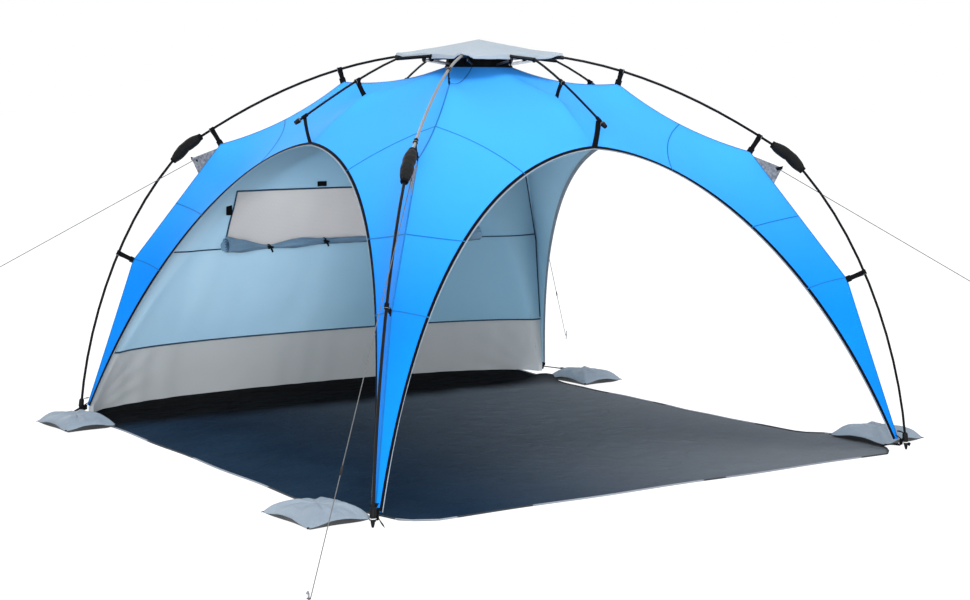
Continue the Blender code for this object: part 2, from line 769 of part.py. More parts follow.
def canopy_roof():
    """The roof: eight fields between the ridges, down to the doorway tops and the leg seams."""
    high, wide = 8, SEAM_STEPS + ARCH_STEPS
    spin = Matrix.Rotation(math.radians(45), 3, "Z")
    line = side_line()
    strap_part = part_of_length(line, under(STRUT_POINTS, STRUT_STRAP_AT, STRUT_STRAP_DROP).x)
    side = [spin @ p for p in through(line, (0.0, strap_part, 1.0), (5, 3))]
    top = [
        Matrix.Rotation(math.radians(45) * j / wide, 3, "Z") @ COLLAR for j in range(wide + 1)
    ]
    seam = [SEAM_TOP.lerp(SEAM_END, j / SEAM_STEPS) for j in range(SEAM_STEPS)]
    edge = resample(ARCH, ARCH_STEPS, SEAM_PART, 0.0)
    top_part = part_of_length(RIDGE, TOP_STRAP.x)
    left = through(RIDGE, (0.0, top_part, SEAM_RIDGE_PART), (5, 3))
    half = patch(left, side, top, seam + edge)
    rows = []
    for row in half:
        octants = [row[:-1], [mirrored(p) for p in row[:0:-1]]]
        quarter = octants[0]
        back = [Matrix.Rotation(math.radians(90), 3, "Z") @ p for p in octants[1]]
        quarter = quarter + back
        full = []
        for corner in (45, 135, 225, 315):
            move = Matrix.Rotation(math.radians(corner), 3, "Z")
            full += [move @ p for p in quarter]
        rows.append(full)
    body = sheet(rows, CLOTH, closed=True)
    joined = []
    for corner in CORNERS.values():
        strap = strap_to(ARM_POINTS, TOP_STRAP_AT, TOP_STRAP, POLE_RADIUS)
        joined += [turned(part, corner) for part in strap]
    for side_angle in SIDES.values():
        strap = strap_to(
            STRUT_POINTS, STRUT_STRAP_AT, under(STRUT_POINTS, STRUT_STRAP_AT, STRUT_STRAP_DROP),
            STRUT_RADIUS,
        )
        strap += strap_to(STRUT_POINTS, 0.93, CROWN + Vector((-0.012, 0, 0.006)), STRUT_RADIUS)
        joined += [turned(part, side_angle) for part in strap]
    return combine("canopy_roof", body, joined)


def strap_to(points, fraction, low, radius):
    """A webbing strap from the cloth up to a loop round a pole."""
    inner = radius + LOOP_GAP
    point, heading = along(points, fraction)
    toward = (low - point).normalized()
    start = point + toward * (inner + STRAP_THICKNESS / 2)
    return [
        loop_on(points, fraction, inner, STRAP_WIDTH),
        band(start, low + toward * 0.010, STRAP_WIDTH * 0.6, STRAP_THICKNESS),
    ]


def canopy_leg():
    """One leg of the canopy, from the seam to the foot, with its straps and guy patch."""
    wide = SEAM_STEPS
    stations = [part_of_length(RIDGE, p.x) for p in (SHOULDER_STRAP, SHIN_STRAP)]
    counts = LEG_STEPS
    ridge = through(RIDGE, (SEAM_RIDGE_PART, *stations, 1.0), counts)
    high = sum(counts)
    edge = resample(ARCH, high, SEAM_PART, 1.0)
    top = [SEAM_TOP.lerp(SEAM_END, j / wide) for j in range(wide + 1)]
    tip = [ridge[-1].lerp(edge[-1], j / wide) for j in range(wide + 1)]
    half = patch(ridge, edge, top, tip)
    rows = [[mirrored(p) for p in row[:0:-1]] + row for row in half]
    step = (rows[1][wide] - rows[0][wide]).length
    rows[0] = [a.lerp(b, SEAM_GAP / step) for a, b in zip(rows[0], rows[1])]
    body = sheet(rows, CLOTH)
    joined = strap_to(ARM_POINTS, SHOULDER_STRAP_AT, SHOULDER_STRAP, POLE_RADIUS)
    joined += strap_to(LEG_POINTS, SHIN_STRAP_AT, SHIN_STRAP, POLE_RADIUS)
    low, _ = along(hang(SHOULDER_STRAP, SHIN_STRAP, 0.0, 6), 0.29)
    inward = Vector((-0.016, 0, -0.012))
    outline = [
        (p.x, p.z) for p in (SHOULDER_STRAP + inward, PATCH_TIP, low + inward)
    ]
    joined.append(prism(outline, 0, PATCH_THICKNESS))
    return combine("canopy_leg", body, joined)


# Back wall, in plan and height
def arch_at(height):
    """Half width and reach of the back doorway's edge at a height."""
    for a, b in zip(BACK_ARCH, BACK_ARCH[1:]):
        if b.z <= height <= a.z:
            part = (a.z - height) / max(a.z - b.z, 1e-9)
            return a.lerp(b, part)
    return BACK_ARCH[0] if height > BACK_ARCH[0].z else BACK_ARCH[-1]


def arch_over(x):
    """The point of the back doorway's edge above a place across it."""
    x = min(abs(x), BACK_ARCH[-1].x)
    for a, b in zip(BACK_ARCH, BACK_ARCH[1:]):
        if a.x <= x <= b.x:
            return a.lerp(b, (x - a.x) / max(b.x - a.x, 1e-9))
    return BACK_ARCH[-1]


def base_y(x):
    """How far back the foot of the wall runs."""
    part = min(abs(x) / BACK_ARCH[-1].x, 1.0)
    return BACK_ARCH[-1].y + WALL_BULGE * (1 - part**2.6) ** 0.6


def wall_y(x, height):
    over = arch_over(x)
    part = (over.z - height) / (over.z - WALL_LIFT)
    return over.y + (base_y(x) - over.y) * max(part, 0.0)


def wall_rows(heights, inner, half_columns, edge_columns):
    rows = []
    for height in heights:
        wide = arch_at(height + WALL_EDGE_DROP).x - WALL_EDGE_GAP
        mid = min(inner, 0.90 * wide)
        xs = [mid * k / half_columns for k in range(half_columns + 1)]
        xs += [mid + (wide - mid) * k / edge_columns for k in range(1, edge_columns + 1)]
        row = [Vector((-x, wall_y(x, height), height)) for x in xs[:0:-1]]
        row += [Vector((x, wall_y(x, height), height)) for x in xs]
        rows.append(row)
    return rows


def spread(start, end, count):
    return [start + (end - start) * k / count for k in range(count + 1)]


def back_wall():
    top = CROWN.z - WALL_EDGE_DROP - 0.003
    heights = spread(BAND_HEIGHT, WINDOW_BOTTOM, 4)
    heights += spread(WINDOW_BOTTOM, WINDOW_TOP, 2)[1:]
    heights += spread(WINDOW_TOP, top, 4)[1:]
    half, edge = 4, 3
    rows = wall_rows(heights, WINDOW_HALF_WIDTH, half, edge)
    hole = {(i, j) for i in range(4, 6) for j in range(edge, edge + 2 * half)}
    return mesh_of(sheet(rows, CLOTH, hole=hole), "back_wall")


def window_mesh():
    lip = GAP * 2
    heights = spread(WINDOW_BOTTOM + lip, WINDOW_TOP - lip, 2)
    rows = []
    for height in heights:
        xs = spread(-WINDOW_HALF_WIDTH + lip, WINDOW_HALF_WIDTH - lip, 8)
        rows.append([Vector((x, wall_y(x, height), height)) for x in xs])
    return mesh_of(sheet(rows, CLOTH * 0.6), "window_mesh")


def wall_band():
    heights = spread(WALL_LIFT, BAND_HEIGHT - GAP, 2)
    return mesh_of(sheet(wall_rows(heights, 0.8, 6, 4), CLOTH), "wall_band")


def window_roll():
    height = WINDOW_BOTTOM + 0.013
    points = []
    for x in spread(-ROLL_HALF_LENGTH, ROLL_HALF_LENGTH, 10):
        points.append(Vector((x, wall_y(x, height) - ROLL_RADIUS * ROLL_SEAT, height)))
    return mesh_of(rod(points, ROLL_RADIUS), "window_roll")


def groundsheet():
    """The groundsheet, with a bay at each corner for the sand pockets."""
    bay = BAG_X - BAG_WIDTH / 2 * BAG_FOOT_SHARE - GAP
    bay_y = BAG_Y - BAG_LENGTH / 2 * BAG_FOOT_SHARE - GAP
    outline = [(-bay, -FLOOR_FRONT), (bay, -FLOOR_FRONT), (bay, -bay_y)]
    right = max(FLOOR_RIGHT, bay + 0.004)
    outline += [(right, -bay_y + 0.004), (right, bay_y - 0.004), (bay, bay_y)]
    for x in spread(bay, -bay, 16):
        outline.append((x, base_y(x) + FLOOR_THICKNESS))
    outline += [(-bay, bay_y), (-FLOOR_LEFT, bay_y), (-FLOOR_LEFT, -bay_y), (-bay, -bay_y)]
    bm = bmesh.new()
    low = [bm.verts.new((x, y, 0)) for x, y in outline]
    high = [bm.verts.new((x, y, FLOOR_THICKNESS)) for x, y in outline]
    bm.faces.new(low)
    bm.faces.new(high)
    for i in range(len(outline)):
        j = (i + 1) % len(outline)
        bm.faces.new((low[i], low[j], high[j], high[i]))
    return mesh_of(bm, "groundsheet", smooth=False)


def sand_pocket():
    """A filled pocket: a flat-bottomed cushion with blunt corners."""
    rings = []
    levels = ((0.0, 0.90), (0.10, 0.97), (0.34, 1.0), (0.62, 0.94), (0.86, 0.74), (1.0, 0.34))
    for part, size in levels:
        ring = []
        for k in range(20):
            angle = 2 * math.pi * k / 20
            c, s = math.cos(angle), math.sin(angle)
            x = math.copysign(abs(c) ** 0.55, c) * BAG_WIDTH / 2 * size
            y = math.copysign(abs(s) ** 0.55, s) * BAG_LENGTH / 2 * size
            ring.append(Vector((x, y, part * BAG_HEIGHT)))
        rings.append(ring)
    return mesh_of(loft(rings), "sand_pocket")


def rain_cap():
    """The cap over the hub, a low pyramid whose corners lie over the corner arms."""
    rows = []
    low = SOCKET_END.z + SOCKET_RADIUS + CAP_CLEARANCE
    for step in range(6):
        part = step / 5
        ring = []
        for k in range(24):
            angle = 2 * math.pi * k / 24
            turn = (angle + math.pi / 4) % (math.pi / 2) - math.pi / 4
            flat = CAP_REACH * math.sqrt(0.5) / math.cos(turn)
            reach = (flat - 0.012 * math.cos(2 * turn)) * part
            sag = CAP_EDGE_SAG * math.cos(2 * turn) * part**2
            height = low + CAP_PEAK * (1 - part) ** 1.25 + 0.004 * (1 - part) - sag
            ring.append(Vector((reach * math.cos(angle), reach * math.sin(angle), height)))
        rows.append(ring)
    return mesh_of(sheet(rows, CLOTH, closed=True), "rain_cap")


def guy(reach):
    """A guy line from the patch past the leg to its peg."""
    beside = (PATCH_THICKNESS + GUY_DIAMETER) / 2 + GAP
    start = PATCH_TIP + Vector((-0.012, beside, -0.006))
    beside = PEG_RADIUS + GUY_DIAMETER / 2 + GAP
    end = Vector((reach + PEG_LEAN * 0.6, GUY_SIDE + beside, PEG_HEIGHT * 0.5))
    pass_by = start.lerp(end, 0.1)
    pass_by.y = POLE_RADIUS + GUY_DIAMETER
    return mesh_of(rod([start, pass_by, start.lerp(end, 0.5), end], GUY_DIAMETER / 2), "guy")


def peg(reach):
    """The part of a ground peg that shows: a stem with a bent hook."""
    foot_at = Vector((reach, GUY_SIDE, PEG_RADIUS / 4))
    top = foot_at + Vector((PEG_LEAN, 0, PEG_HEIGHT - 0.008))
    hook = [foot_at, top, top + Vector((0.006, 0, 0.006)), top + Vector((0.018, 0, 0.004))]
    return mesh_of(rod(hook, PEG_RADIUS), "peg")


LINK_PIN = ARM_HINGE + Vector((BRACKET_REACH, 0, -BRACKET_DROP))
RUNNER_PIN = ARM_HINGE - Vector((0, 0, 2 * BRACKET_DROP))
COLLAR = Vector((COLLAR_REACH, 0, HINGE_HEIGHT - COLLAR_DROP))
TIP = Vector((TIP_REACH, 0, TIP_HEIGHT))
TOP_STRAP = under(ARM_POINTS, TOP_STRAP_AT, TOP_STRAP_DROP)
SHOULDER_STRAP = under(ARM_POINTS, SHOULDER_STRAP_AT, SHOULDER_STRAP_DROP)
SHIN_STRAP = under(LEG_POINTS, SHIN_STRAP_AT, SHIN_STRAP_DROP)
CROWN = STRUT_TIP - Vector((CROWN_TUCK, 0, CROWN_DROP))
PATCH_TIP = Vector((PATCH_TIP_REACH, 0, ELBOW.z - PATCH_TIP_DROP))
ARCH = local_arch()
RIDGE = corner_line()


def part_of_length(points, reach):
    """The fraction of a line's length at which it passes a reach."""
    total, found = 0.0, None
    for a, b in zip(points, points[1:]):
        if found is None and b.x >= reach:
            found = total + (b - a).length * (reach - a.x) / max(b.x - a.x, 1e-9)
        total += (b - a).length
    return found / total


SEAM_RIDGE_PART = part_of_length(RIDGE, RIDGE_SEAM_REACH)
SEAM_TOP = resample(RIDGE, 1, SEAM_RIDGE_PART, 1.0)[0]
SEAM_PART = 1.0 - ARCH_SEAM_AT
SEAM_END = resample(ARCH, 1, SEAM_PART, 1.0)[0]
BACK_ARCH = resample(ARCH, ARCH_STEPS, 0.0, SEAM_PART)
BACK_ARCH += resample(ARCH, sum(LEG_STEPS), SEAM_PART, 1.0)[1:]
BACK_ARCH = [
    Vector(((p.x - p.y) * math.sqrt(0.5), (p.x + p.y) * math.sqrt(0.5), p.z)) for p in BACK_ARCH
]

place(hub_crown(), "hub_crown", "hub_black")
spindle_middle = HINGE_HEIGHT + SPINDLE_RISE - SPINDLE_LENGTH / 2
spindle = cylinder(SPINDLE_RADIUS, SPINDLE_LENGTH, Vector((0, 0, spindle_middle)), sides=32)
place(mesh_of(spindle, "hub_spindle"), "hub_spindle", "pole_black")
place(hub_runner(), "hub_runner", "hub_black", origin=Vector((0, 0, RUNNER_PIN.z)))
for corner, angle in CORNERS.items():
    place(arm_socket("arm_socket", SOCKET_END, SOCKET_RADIUS, SOCKET_DEPTH), f"arm_socket_{corner}",
          "hub_black", angle, origin=ARM_HINGE)
    place(arm_pole(), f"arm_pole_{corner}", "pole_black", angle, origin=ARM_HINGE)
    place(elbow_sleeve(), f"elbow_sleeve_{corner}", "sleeve_black", angle, origin=ELBOW)
    place(leg_pole(), f"leg_pole_{corner}", "pole_black", angle, origin=ELBOW)
    place(foot(), f"foot_{corner}", "sleeve_black", angle, origin=ELBOW)
    place(link(), f"arm_link_{corner}", "link_steel", angle, origin=LINK_PIN)
    place(canopy_leg(), f"canopy_leg_{corner}", "canopy_blue", angle)
    place(guy(GUY_REACH[corner]), f"guy_{corner}", "guy_cord", angle)
    place(peg(GUY_REACH[corner]), f"peg_{corner}", "peg_steel", angle)
    across = 1 if math.cos(math.radians(angle)) > 0 else -1
    deep = 1 if math.sin(math.radians(angle)) > 0 else -1
    place(sand_pocket(), f"sand_pocket_{corner}", "pocket_grey", 0.0,
          (BAG_X * across, BAG_Y * deep, 0))
for side, angle in SIDES.items():
    place(strut(), f"side_arm_{side}", "pole_black", angle, origin=ARM_HINGE)
    place(link(), f"side_link_{side}", "link_steel", angle, origin=LINK_PIN)
place(canopy_roof(), "canopy_roof", "canopy_blue")
place(back_wall(), "back_wall", "wall_pale")
place(window_mesh(), "window_mesh", "mesh_sand")
place(wall_band(), "wall_band", "mesh_sand")
place(window_roll(), "window_roll", "wall_pale")
place(groundsheet(), "groundsheet", "ground_navy")
place(rain_cap(), "rain_cap", "cap_grey")
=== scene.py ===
"""Looks of the beach pavilion: blue canopy under an outside frame, pale back wall, groundsheet.

The construction is the fixed frame. Everything here is in metres in that frame: +Z up, +Y toward
the back wall, the origin on the ground under the hub. A corner's pieces are drawn in its upright
plane, with reach along X, and are then spun about the hub to their corner.
"""

import math

import bmesh
import bpy
from mathutils import Matrix, Vector, noise
from mathutils.bvhtree import BVHTree


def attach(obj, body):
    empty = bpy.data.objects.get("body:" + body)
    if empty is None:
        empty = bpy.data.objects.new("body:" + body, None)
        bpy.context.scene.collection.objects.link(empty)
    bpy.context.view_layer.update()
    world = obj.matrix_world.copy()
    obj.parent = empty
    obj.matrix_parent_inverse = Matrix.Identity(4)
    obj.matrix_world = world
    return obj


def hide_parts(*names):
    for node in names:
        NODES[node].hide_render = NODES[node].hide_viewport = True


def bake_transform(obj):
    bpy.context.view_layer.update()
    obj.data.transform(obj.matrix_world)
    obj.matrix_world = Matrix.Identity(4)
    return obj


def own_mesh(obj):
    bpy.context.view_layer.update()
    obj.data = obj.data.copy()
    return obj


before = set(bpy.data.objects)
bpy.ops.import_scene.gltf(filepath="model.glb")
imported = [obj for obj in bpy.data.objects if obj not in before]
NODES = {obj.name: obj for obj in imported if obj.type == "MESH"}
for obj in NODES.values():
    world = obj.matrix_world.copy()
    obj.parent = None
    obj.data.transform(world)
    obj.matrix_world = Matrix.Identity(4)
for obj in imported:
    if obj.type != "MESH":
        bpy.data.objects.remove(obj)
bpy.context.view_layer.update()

CORNERS = {"front_left": 225.0, "front_right": 315.0, "back_right": 45.0, "back_left": 135.0}
SIDES = {"front": 270.0, "right": 0.0, "back": 90.0, "left": 180.0}
ROOT = "hub_and_cloth"

# Frame lines in the upright plane of a corner: reach from the hub's axis, height
SOCKET_END = Vector((0.340, 0, 1.508))
ELBOW = Vector((1.225, 0, 1.137))
FOOT_TOP = Vector((1.700, 0, 0.046))
ARM_SLOPES = (-8.0, -34.0)
ARM_HANDLE = 0.32
LEG_SLOPES = (-44.0, -84.0)
LEG_HANDLES = (0.36, 0.40)
STRUT_START = Vector((0.380, 0, 1.498))
STRUT_TIP = Vector((0.812, 0, 1.262))
STRUT_SLOPES = (-21.0, -32.0)
STRUT_HANDLE = 0.15
POLE_RADIUS = 0.0055
STRUT_RADIUS = 0.0045

# Canopy
COLLAR = Vector((0.130, 0, 1.470))
TOP_STRAP_AT = 0.245
SHOULDER_STRAP_AT = 0.860
SHIN_STRAP_AT = 0.460
STRUT_STRAP_AT = 0.400
KNOB_STRAP_AT = 0.930
TOP_STRAP_DROP = 0.052
SHOULDER_STRAP_DROP = 0.070
SHIN_STRAP_DROP = 0.071
STRUT_STRAP_DROP = 0.062
COLLAR_SAG = 0.026
SHOULDER_SAG = 0.030
CROWN_OFFSET = Vector((-0.052, 0, -0.086))
SEAM_REACH = 0.800
SEAM_BOW = 0.034
SEAM_SHARE = 0.400
TIP = Vector((1.672, 0, 0.045))
TIP_HALF_WIDTH = 0.017
ARCH_SEAM_AT = 0.800
ARCH_FOOT_HANDLE = Vector((-0.228, -0.182, 0.656))
ARCH_CROWN_HANDLE = Vector((0.500, 0.013, -0.033))
CLOTH = 0.0009
# A point inside the tent: the cloth's lining looks at it, and tapes lift away from it
MIDDLE = Vector((0.35, 0, 0.35))
# Spans where the cloth meets its next body, handed to bend; nothing bends there
ROOF_BEND = (Vector((0.16, 0, 1.45)), Vector((0.46, 0, 1.45)))
LEG_BEND = (Vector((1.16, 0, 1.14)), Vector((1.30, 0, 0.98)))
TAPE_WIDTH = 0.0105
TAPE_THICKNESS = 0.0030
HEM_WIDTH = 0.016
HEM_SHOWS = 0.006
HEM_THICKNESS = 0.0014
SEAM_WIDTH = 0.0036
SEAM_THICKNESS = 0.0016
WEBBING = 0.025
WEBBING_THICKNESS = 0.0020
PATCH_TIP = Vector((1.200, 0, 1.090))

# Back wall
WALL_BULGE = 0.270
WALL_LIFT = 0.0034
WALL_TOP = 1.172
BAND_TOP = 0.267
WINDOW_BOTTOM = 0.700
WINDOW_TOP = 0.950
WINDOW_TOP_HALF = 0.645
WINDOW_BOTTOM_HALF = 0.628
WALL_OVERLAP = 0.420
WALL_GAP = 0.008
PIPING_RADIUS = 0.0046
PIPING_OUT = 0.003
# How far inside the wall's edge its side seams run
SIDE_SEAM_IN = 0.004
ROLL_HALF = 0.645
ROLL_STEPS = 120
ROLL_TIES = (-0.408, -0.126, 0.126, 0.408)
# Toggle tabs: place across, height, width, length
TOGGLES = ((-0.224, 0.970, 0.044, 0.022), (0.240, 0.970, 0.044, 0.022),
           (-0.664, 0.872, 0.027, 0.048), (0.664, 0.872, 0.027, 0.048))

# Groundsheet
FLOOR_FRONT = -1.218
FLOOR_BACK = 1.17
# Where the side edges run: distance toward the wall, distance to the right
FLOOR_LEFT = ((-1.218, -0.960), (-1.190, -1.030), (-1.150, -1.075), (-1.0, -1.120), (-0.92, -1.150),
              (-0.80, -1.190), (-0.70, -1.205), (FLOOR_BACK, -1.205))
FLOOR_RIGHT = ((-1.218, 1.080), (-1.190, 1.120), (-1.130, 1.165), (-1.05, 1.200), (-0.90, 1.215),
               (-0.79, 1.200), (-0.74, 1.130), (-0.70, 1.112), (-0.5, 1.08), (0.0, 1.06),
               (0.67, 1.04), (FLOOR_BACK, 1.10))
FLOOR_THICKNESS = 0.0014

# Sand pockets: middle, width, length, turn in degrees
POCKETS = {
    "back_left": (-1.322, 0.960, 0.220, 0.262, 4.0),
    "front_left": (-1.292, -0.998, 0.240, 0.280, 3.0),
    "front_right": (1.268, -0.985, 0.235, 0.275, 6.0),
    "back_right": (1.168, 0.815, 0.225, 0.265, 4.0),
}
POCKET_HEIGHT = 0.058
POCKET_SEAM = 0.026
# How far from the tent's two middle planes a pocket's strap meets its foot
POCKET_HOOK = 1.196

# Rain cap
CAP_REACH = 0.335
CAP_LOW = 1.5247
CAP_PEAK = 0.054
CAP_EDGE_AT = 0.94
CAP_DRAPE = {"front_left": 0.014, "front_right": 0.008, "back_right": 0.006, "back_left": 0.004}

# Guy lines: reach of each peg, as in the construction
GUY_REACH = {"front_left": 2.60, "front_right": 3.05, "back_right": 2.83, "back_left": 3.15}
GUY_DIAMETER = 0.003
GUY_SIDE = 0.050
PATCH_THICKNESS = 0.0016
PEG_RADIUS = 0.003
PEG_LEAN = 0.006
PEG_HEIGHT = 0.045
GAP = 0.0003

# Finishes: a wave texture of scale WAVE / length repeats once in that length
WAVE = 0.314
RIB = 0.002
STITCH = 0.004
MOULD_GRAIN = 0.0012
FOLD_DEPTH = 0.01
THREAD_DEPTH = 0.0004

# Camera, solved from the photograph's feet, elbows, hub and floor
CAMERA_AT = Vector((-4.215, -6.261, 1.421))
CAMERA_YAW = math.radians(34.19)
CAMERA_DOWN = math.radians(6.66)
CAMERA_ROLL = math.radians(0.42)
CAMERA_LENS = 70.07


# Small tools

def linear(code):
    """An sRGB hex colour as linear red, green, blue and 1."""
    values = [int(code[i : i + 2], 16) / 255 for i in (1, 3, 5)]
    return (*[v / 12.92 if v <= 0.04045 else ((v + 0.055) / 1.055) ** 2.4 for v in values], 1.0)


def add(tree, kind, links=None, values=None, **settings):
    """A shader node with its settings, socket values and incoming links."""
    node = tree.nodes.new("ShaderNode" + kind)
    for key, value in settings.items():
        setattr(node, key, value)
    for key, value in (values or {}).items():
        node.inputs[key].default_value = value
    for key, source in (links or {}).items():
        tree.links.new(source, node.inputs[key])
    return node


def spun(point, degrees):
    return Matrix.Rotation(math.radians(degrees), 3, "Z") @ point


def slope(degrees, length):
    angle = math.radians(degrees)
    return Vector((math.cos(angle) * length, 0, math.sin(angle) * length))


def bezier(a, b, c, d, steps):
    points = []
    for k in range(steps + 1):
        t = k / steps
        s = 1 - t
        points.append(a * s**3 + b * 3 * s * s * t + c * 3 * s * t * t + d * t**3)
    return points


def lengths_of(points):
    total = [0.0]
    for a, b in zip(points, points[1:]):
        total.append(total[-1] + (b - a).length)
    return total


def at_length(points, part):
    """The point at a fraction of a line's length."""
    total = lengths_of(points)
    target = min(max(part, 0.0), 1.0) * total[-1]
    i = 0
    while i < len(points) - 2 and total[i + 1] < target:
        i += 1
    step = max(total[i + 1] - total[i], 1e-9)
    return points[i].lerp(points[i + 1], (target - total[i]) / step)


def part_at_reach(points, reach):
    """The fraction of a line's length at which it passes a reach."""
    total = lengths_of(points)
    for i, (a, b) in enumerate(zip(points, points[1:])):
        if b.x >= reach:
            share = (reach - a.x) / max(b.x - a.x, 1e-9)
            return (total[i] + (b - a).length * share) / total[-1]
    return 1.0


def along(points, fraction):
    """The point and heading at a fraction of a list of points."""
    place = fraction * (len(points) - 1)
    first = min(int(place), len(points) - 2)
    step = points[first + 1] - points[first]
    return points[first] + step * (place - first), step.normalized()


def under(points, fraction, drop):
    point, heading = along(points, fraction)
    return point + Vector((heading.z, 0, -heading.x)).normalized() * drop


def hang(start, end, sag, steps):
    """Points from start to end with a sag square to the line, without the last one."""
    heading = (end - start).normalized()
    down = Vector((heading.z, 0, -heading.x))
    if down.z > 0:
        down = -down
    return [
        start.lerp(end, s / steps) + down * sag * 4 * (s / steps) * (1 - s / steps)
        for s in range(steps)
    ]


def knots(values, places):
    """A function that runs straight from value to value between places."""
    def value_at(t):
        for (p, v), (q, w) in zip(zip(places, values), zip(places[1:], values[1:])):
            if t <= q:
                return v + (w - v) * (t - p) / max(q - p, 1e-9)
        return values[-1]

    return value_at


def surface(across, up, place, wide=1.0, high=1.0):
    """A grid whose points are placed by a function of two fractions, with a map in metres."""
    bm = bmesh.new()
    bmesh.ops.create_grid(bm, x_segments=across, y_segments=up, size=1.0)
    flat = bm.loops.layers.uv.new("UVMap")
    at = {v: ((v.co.x + 1) / 2, (v.co.y + 1) / 2) for v in bm.verts}
    for face in bm.faces:
        for loop in face.loops:
            a, b = at[loop.vert]
            loop[flat].uv = (a * wide, b * high)
    for v, (a, b) in at.items():
        v.co = place(a, b)
    return bm


def thicken(bm, thickness):
    """Gives an open sheet its thickness, half to each side. Faces end up pointing outward."""
    bm.normal_update()
    for v in bm.verts:
        v.co -= v.normal * thickness / 2
    bmesh.ops.solidify(bm, geom=list(bm.faces), thickness=-thickness)
    bmesh.ops.recalc_face_normals(bm, faces=bm.faces)
    return bm


def strip(edges, inners, start, width, thickness, lift=0.0, across=1):
    """Tape along an edge, from each edge point toward its inner point. Its lift is outward."""
    count = len(edges) - 1
    ways, lifts = [], []
    for i in range(count + 1):
        way = (inners[i] - edges[i]).normalized()
        ahead = edges[min(i + 1, count)] - edges[max(i - 1, 0)]
        normal = ahead.cross(way).normalized()
        ways.append((way - ahead.normalized() * way.dot(ahead.normalized())).normalized())
        lifts.append(normal if normal.dot(edges[i] - MIDDLE) > 0 else -normal)

    def place(a, b):
        i = round(b * count)
        return edges[i] + ways[i] * (start + a * width) + lifts[i] * lift

    return thicken(surface(across, count, place, width, lengths_of(edges)[-1]), thickness)


def tube(points, radius, sides=10, flat=1.0):
    """A round body along points, capped. The radius may be a function of turn and length."""
    count = len(points) - 1
    frames = []
    up = Vector((0, 0, 1))
    for i, point in enumerate(points):
        heading = (points[min(i + 1, count)] - points[max(i - 1, 0)]).normalized()
        if abs(heading.dot(up)) > 0.97:
            up = Vector((0, 1, 0)) if abs(heading.y) < 0.9 else Vector((1, 0, 0))
        side = heading.cross(up).normalized()
        up = side.cross(heading).normalized()
        frames.append((point, side, up.copy()))

    def place(a, b):
        point, side, top = frames[round(b * count)]
        angle = 2 * math.pi * a
        size = radius(a, b) if callable(radius) else radius
        return point + (side * math.cos(angle) + top * math.sin(angle) * flat) * size

    bm = surface(sides, count, place, 2 * math.pi * 0.01, lengths_of(points)[-1])
    bmesh.ops.remove_doubles(bm, verts=bm.verts, dist=1e-6)
    open_edges = [e for e in bm.edges if e.is_boundary]
    bmesh.ops.holes_fill(bm, edges=open_edges, sides=0)
    bmesh.ops.recalc_face_normals(bm, faces=bm.faces)
    return bm


def both_sides(bm):
    """The shape and its mirror image across a corner's upright plane."""
    geom = bm.verts[:] + bm.edges[:] + bm.faces[:]
    bmesh.ops.mirror(bm, geom=geom, axis="Y", merge_dist=1e-5)
    bmesh.ops.recalc_face_normals(bm, faces=bm.faces)
    return bm


def on_side(bm, side):
    """The shape as drawn, or turned over to the other side of a corner's upright plane."""
    if side < 0:
        bmesh.ops.scale(bm, vec=(1, -1, 1), verts=bm.verts)
        bmesh.ops.recalc_face_normals(bm, faces=bm.faces)
    return bm


def relaxed(place, across, up, passes):
    """A filled outline pulled even like stretched cloth: its edges stay, its inside smooths."""
    rows = [[place(i / across, j / up) for i in range(across + 1)] for j in range(up + 1)]
    for _ in range(passes):
        for j in range(1, up):
            for i in range(1, across):
                even = rows[j][i - 1] + rows[j][i + 1] + rows[j - 1][i] + rows[j + 1][i]
                rows[j][i] = rows[j][i].lerp(even / 4, 0.8)

    def at(a, b):
        i = min(int(a * across), across - 1)
        j = min(int(b * up), up - 1)
        near = rows[j][i].lerp(rows[j][i + 1], a * across - i)
        far = rows[j + 1][i].lerp(rows[j + 1][i + 1], a * across - i)
        return near.lerp(far, b * up - j)

    return at


def merged(shapes):
    """Several shapes as one mesh."""
    whole = bmesh.new()
    for bm in shapes:
        part = bpy.data.meshes.new("part")
        bm.to_mesh(part)
        bm.free()
        whole.from_mesh(part)
        bpy.data.meshes.remove(part)
    return whole


def piece(name, bm, material, body=None, turn=0.0, smooth=True, angle=40):
    """One finished object from a shape, spun to its corner, riding on its body."""
    if turn:
        move = Matrix.Rotation(math.radians(turn), 3, "Z")
        bmesh.ops.transform(bm, matrix=move.to_4x4(), verts=bm.verts)
    mesh = bpy.data.meshes.new(name)
    bm.to_mesh(mesh)
    bm.free()
    for finish in material if isinstance(material, (list, tuple)) else [material]:
        mesh.materials.append(finish)
    if smooth:
        mesh.shade_smooth()
        mesh.set_sharp_from_angle(angle=math.radians(angle))
    obj = bpy.data.objects.new(name, mesh)
    bpy.context.scene.collection.objects.link(obj)
    if body:
        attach(obj, body)
    return obj


def lined(bm):
    """Marks the faces that look at the point inside the tent with the second material."""
    bm.normal_update()
    for face in bm.faces:
        if face.normal.dot(face.calc_center_median() - MIDDLE) < 0:
            face.material_index = 1
    return bm


def area_of(bm):
    return sum(face.calc_area() for face in bm.faces)


def crease(point, size, depth):
    """A soft irregular relief, from about minus to plus a depth."""
    place = Vector(point) / size
    return (noise.noise(place) + 0.5 * noise.noise(place * 2.1 + Vector((7, 3, 1)))) * depth


def cleaned(bm):
    """The shape with coinciding points joined and its faces turned outward."""
    bmesh.ops.remove_doubles(bm, verts=bm.verts, dist=1e-5)
    bmesh.ops.recalc_face_normals(bm, faces=bm.faces)
    return bm


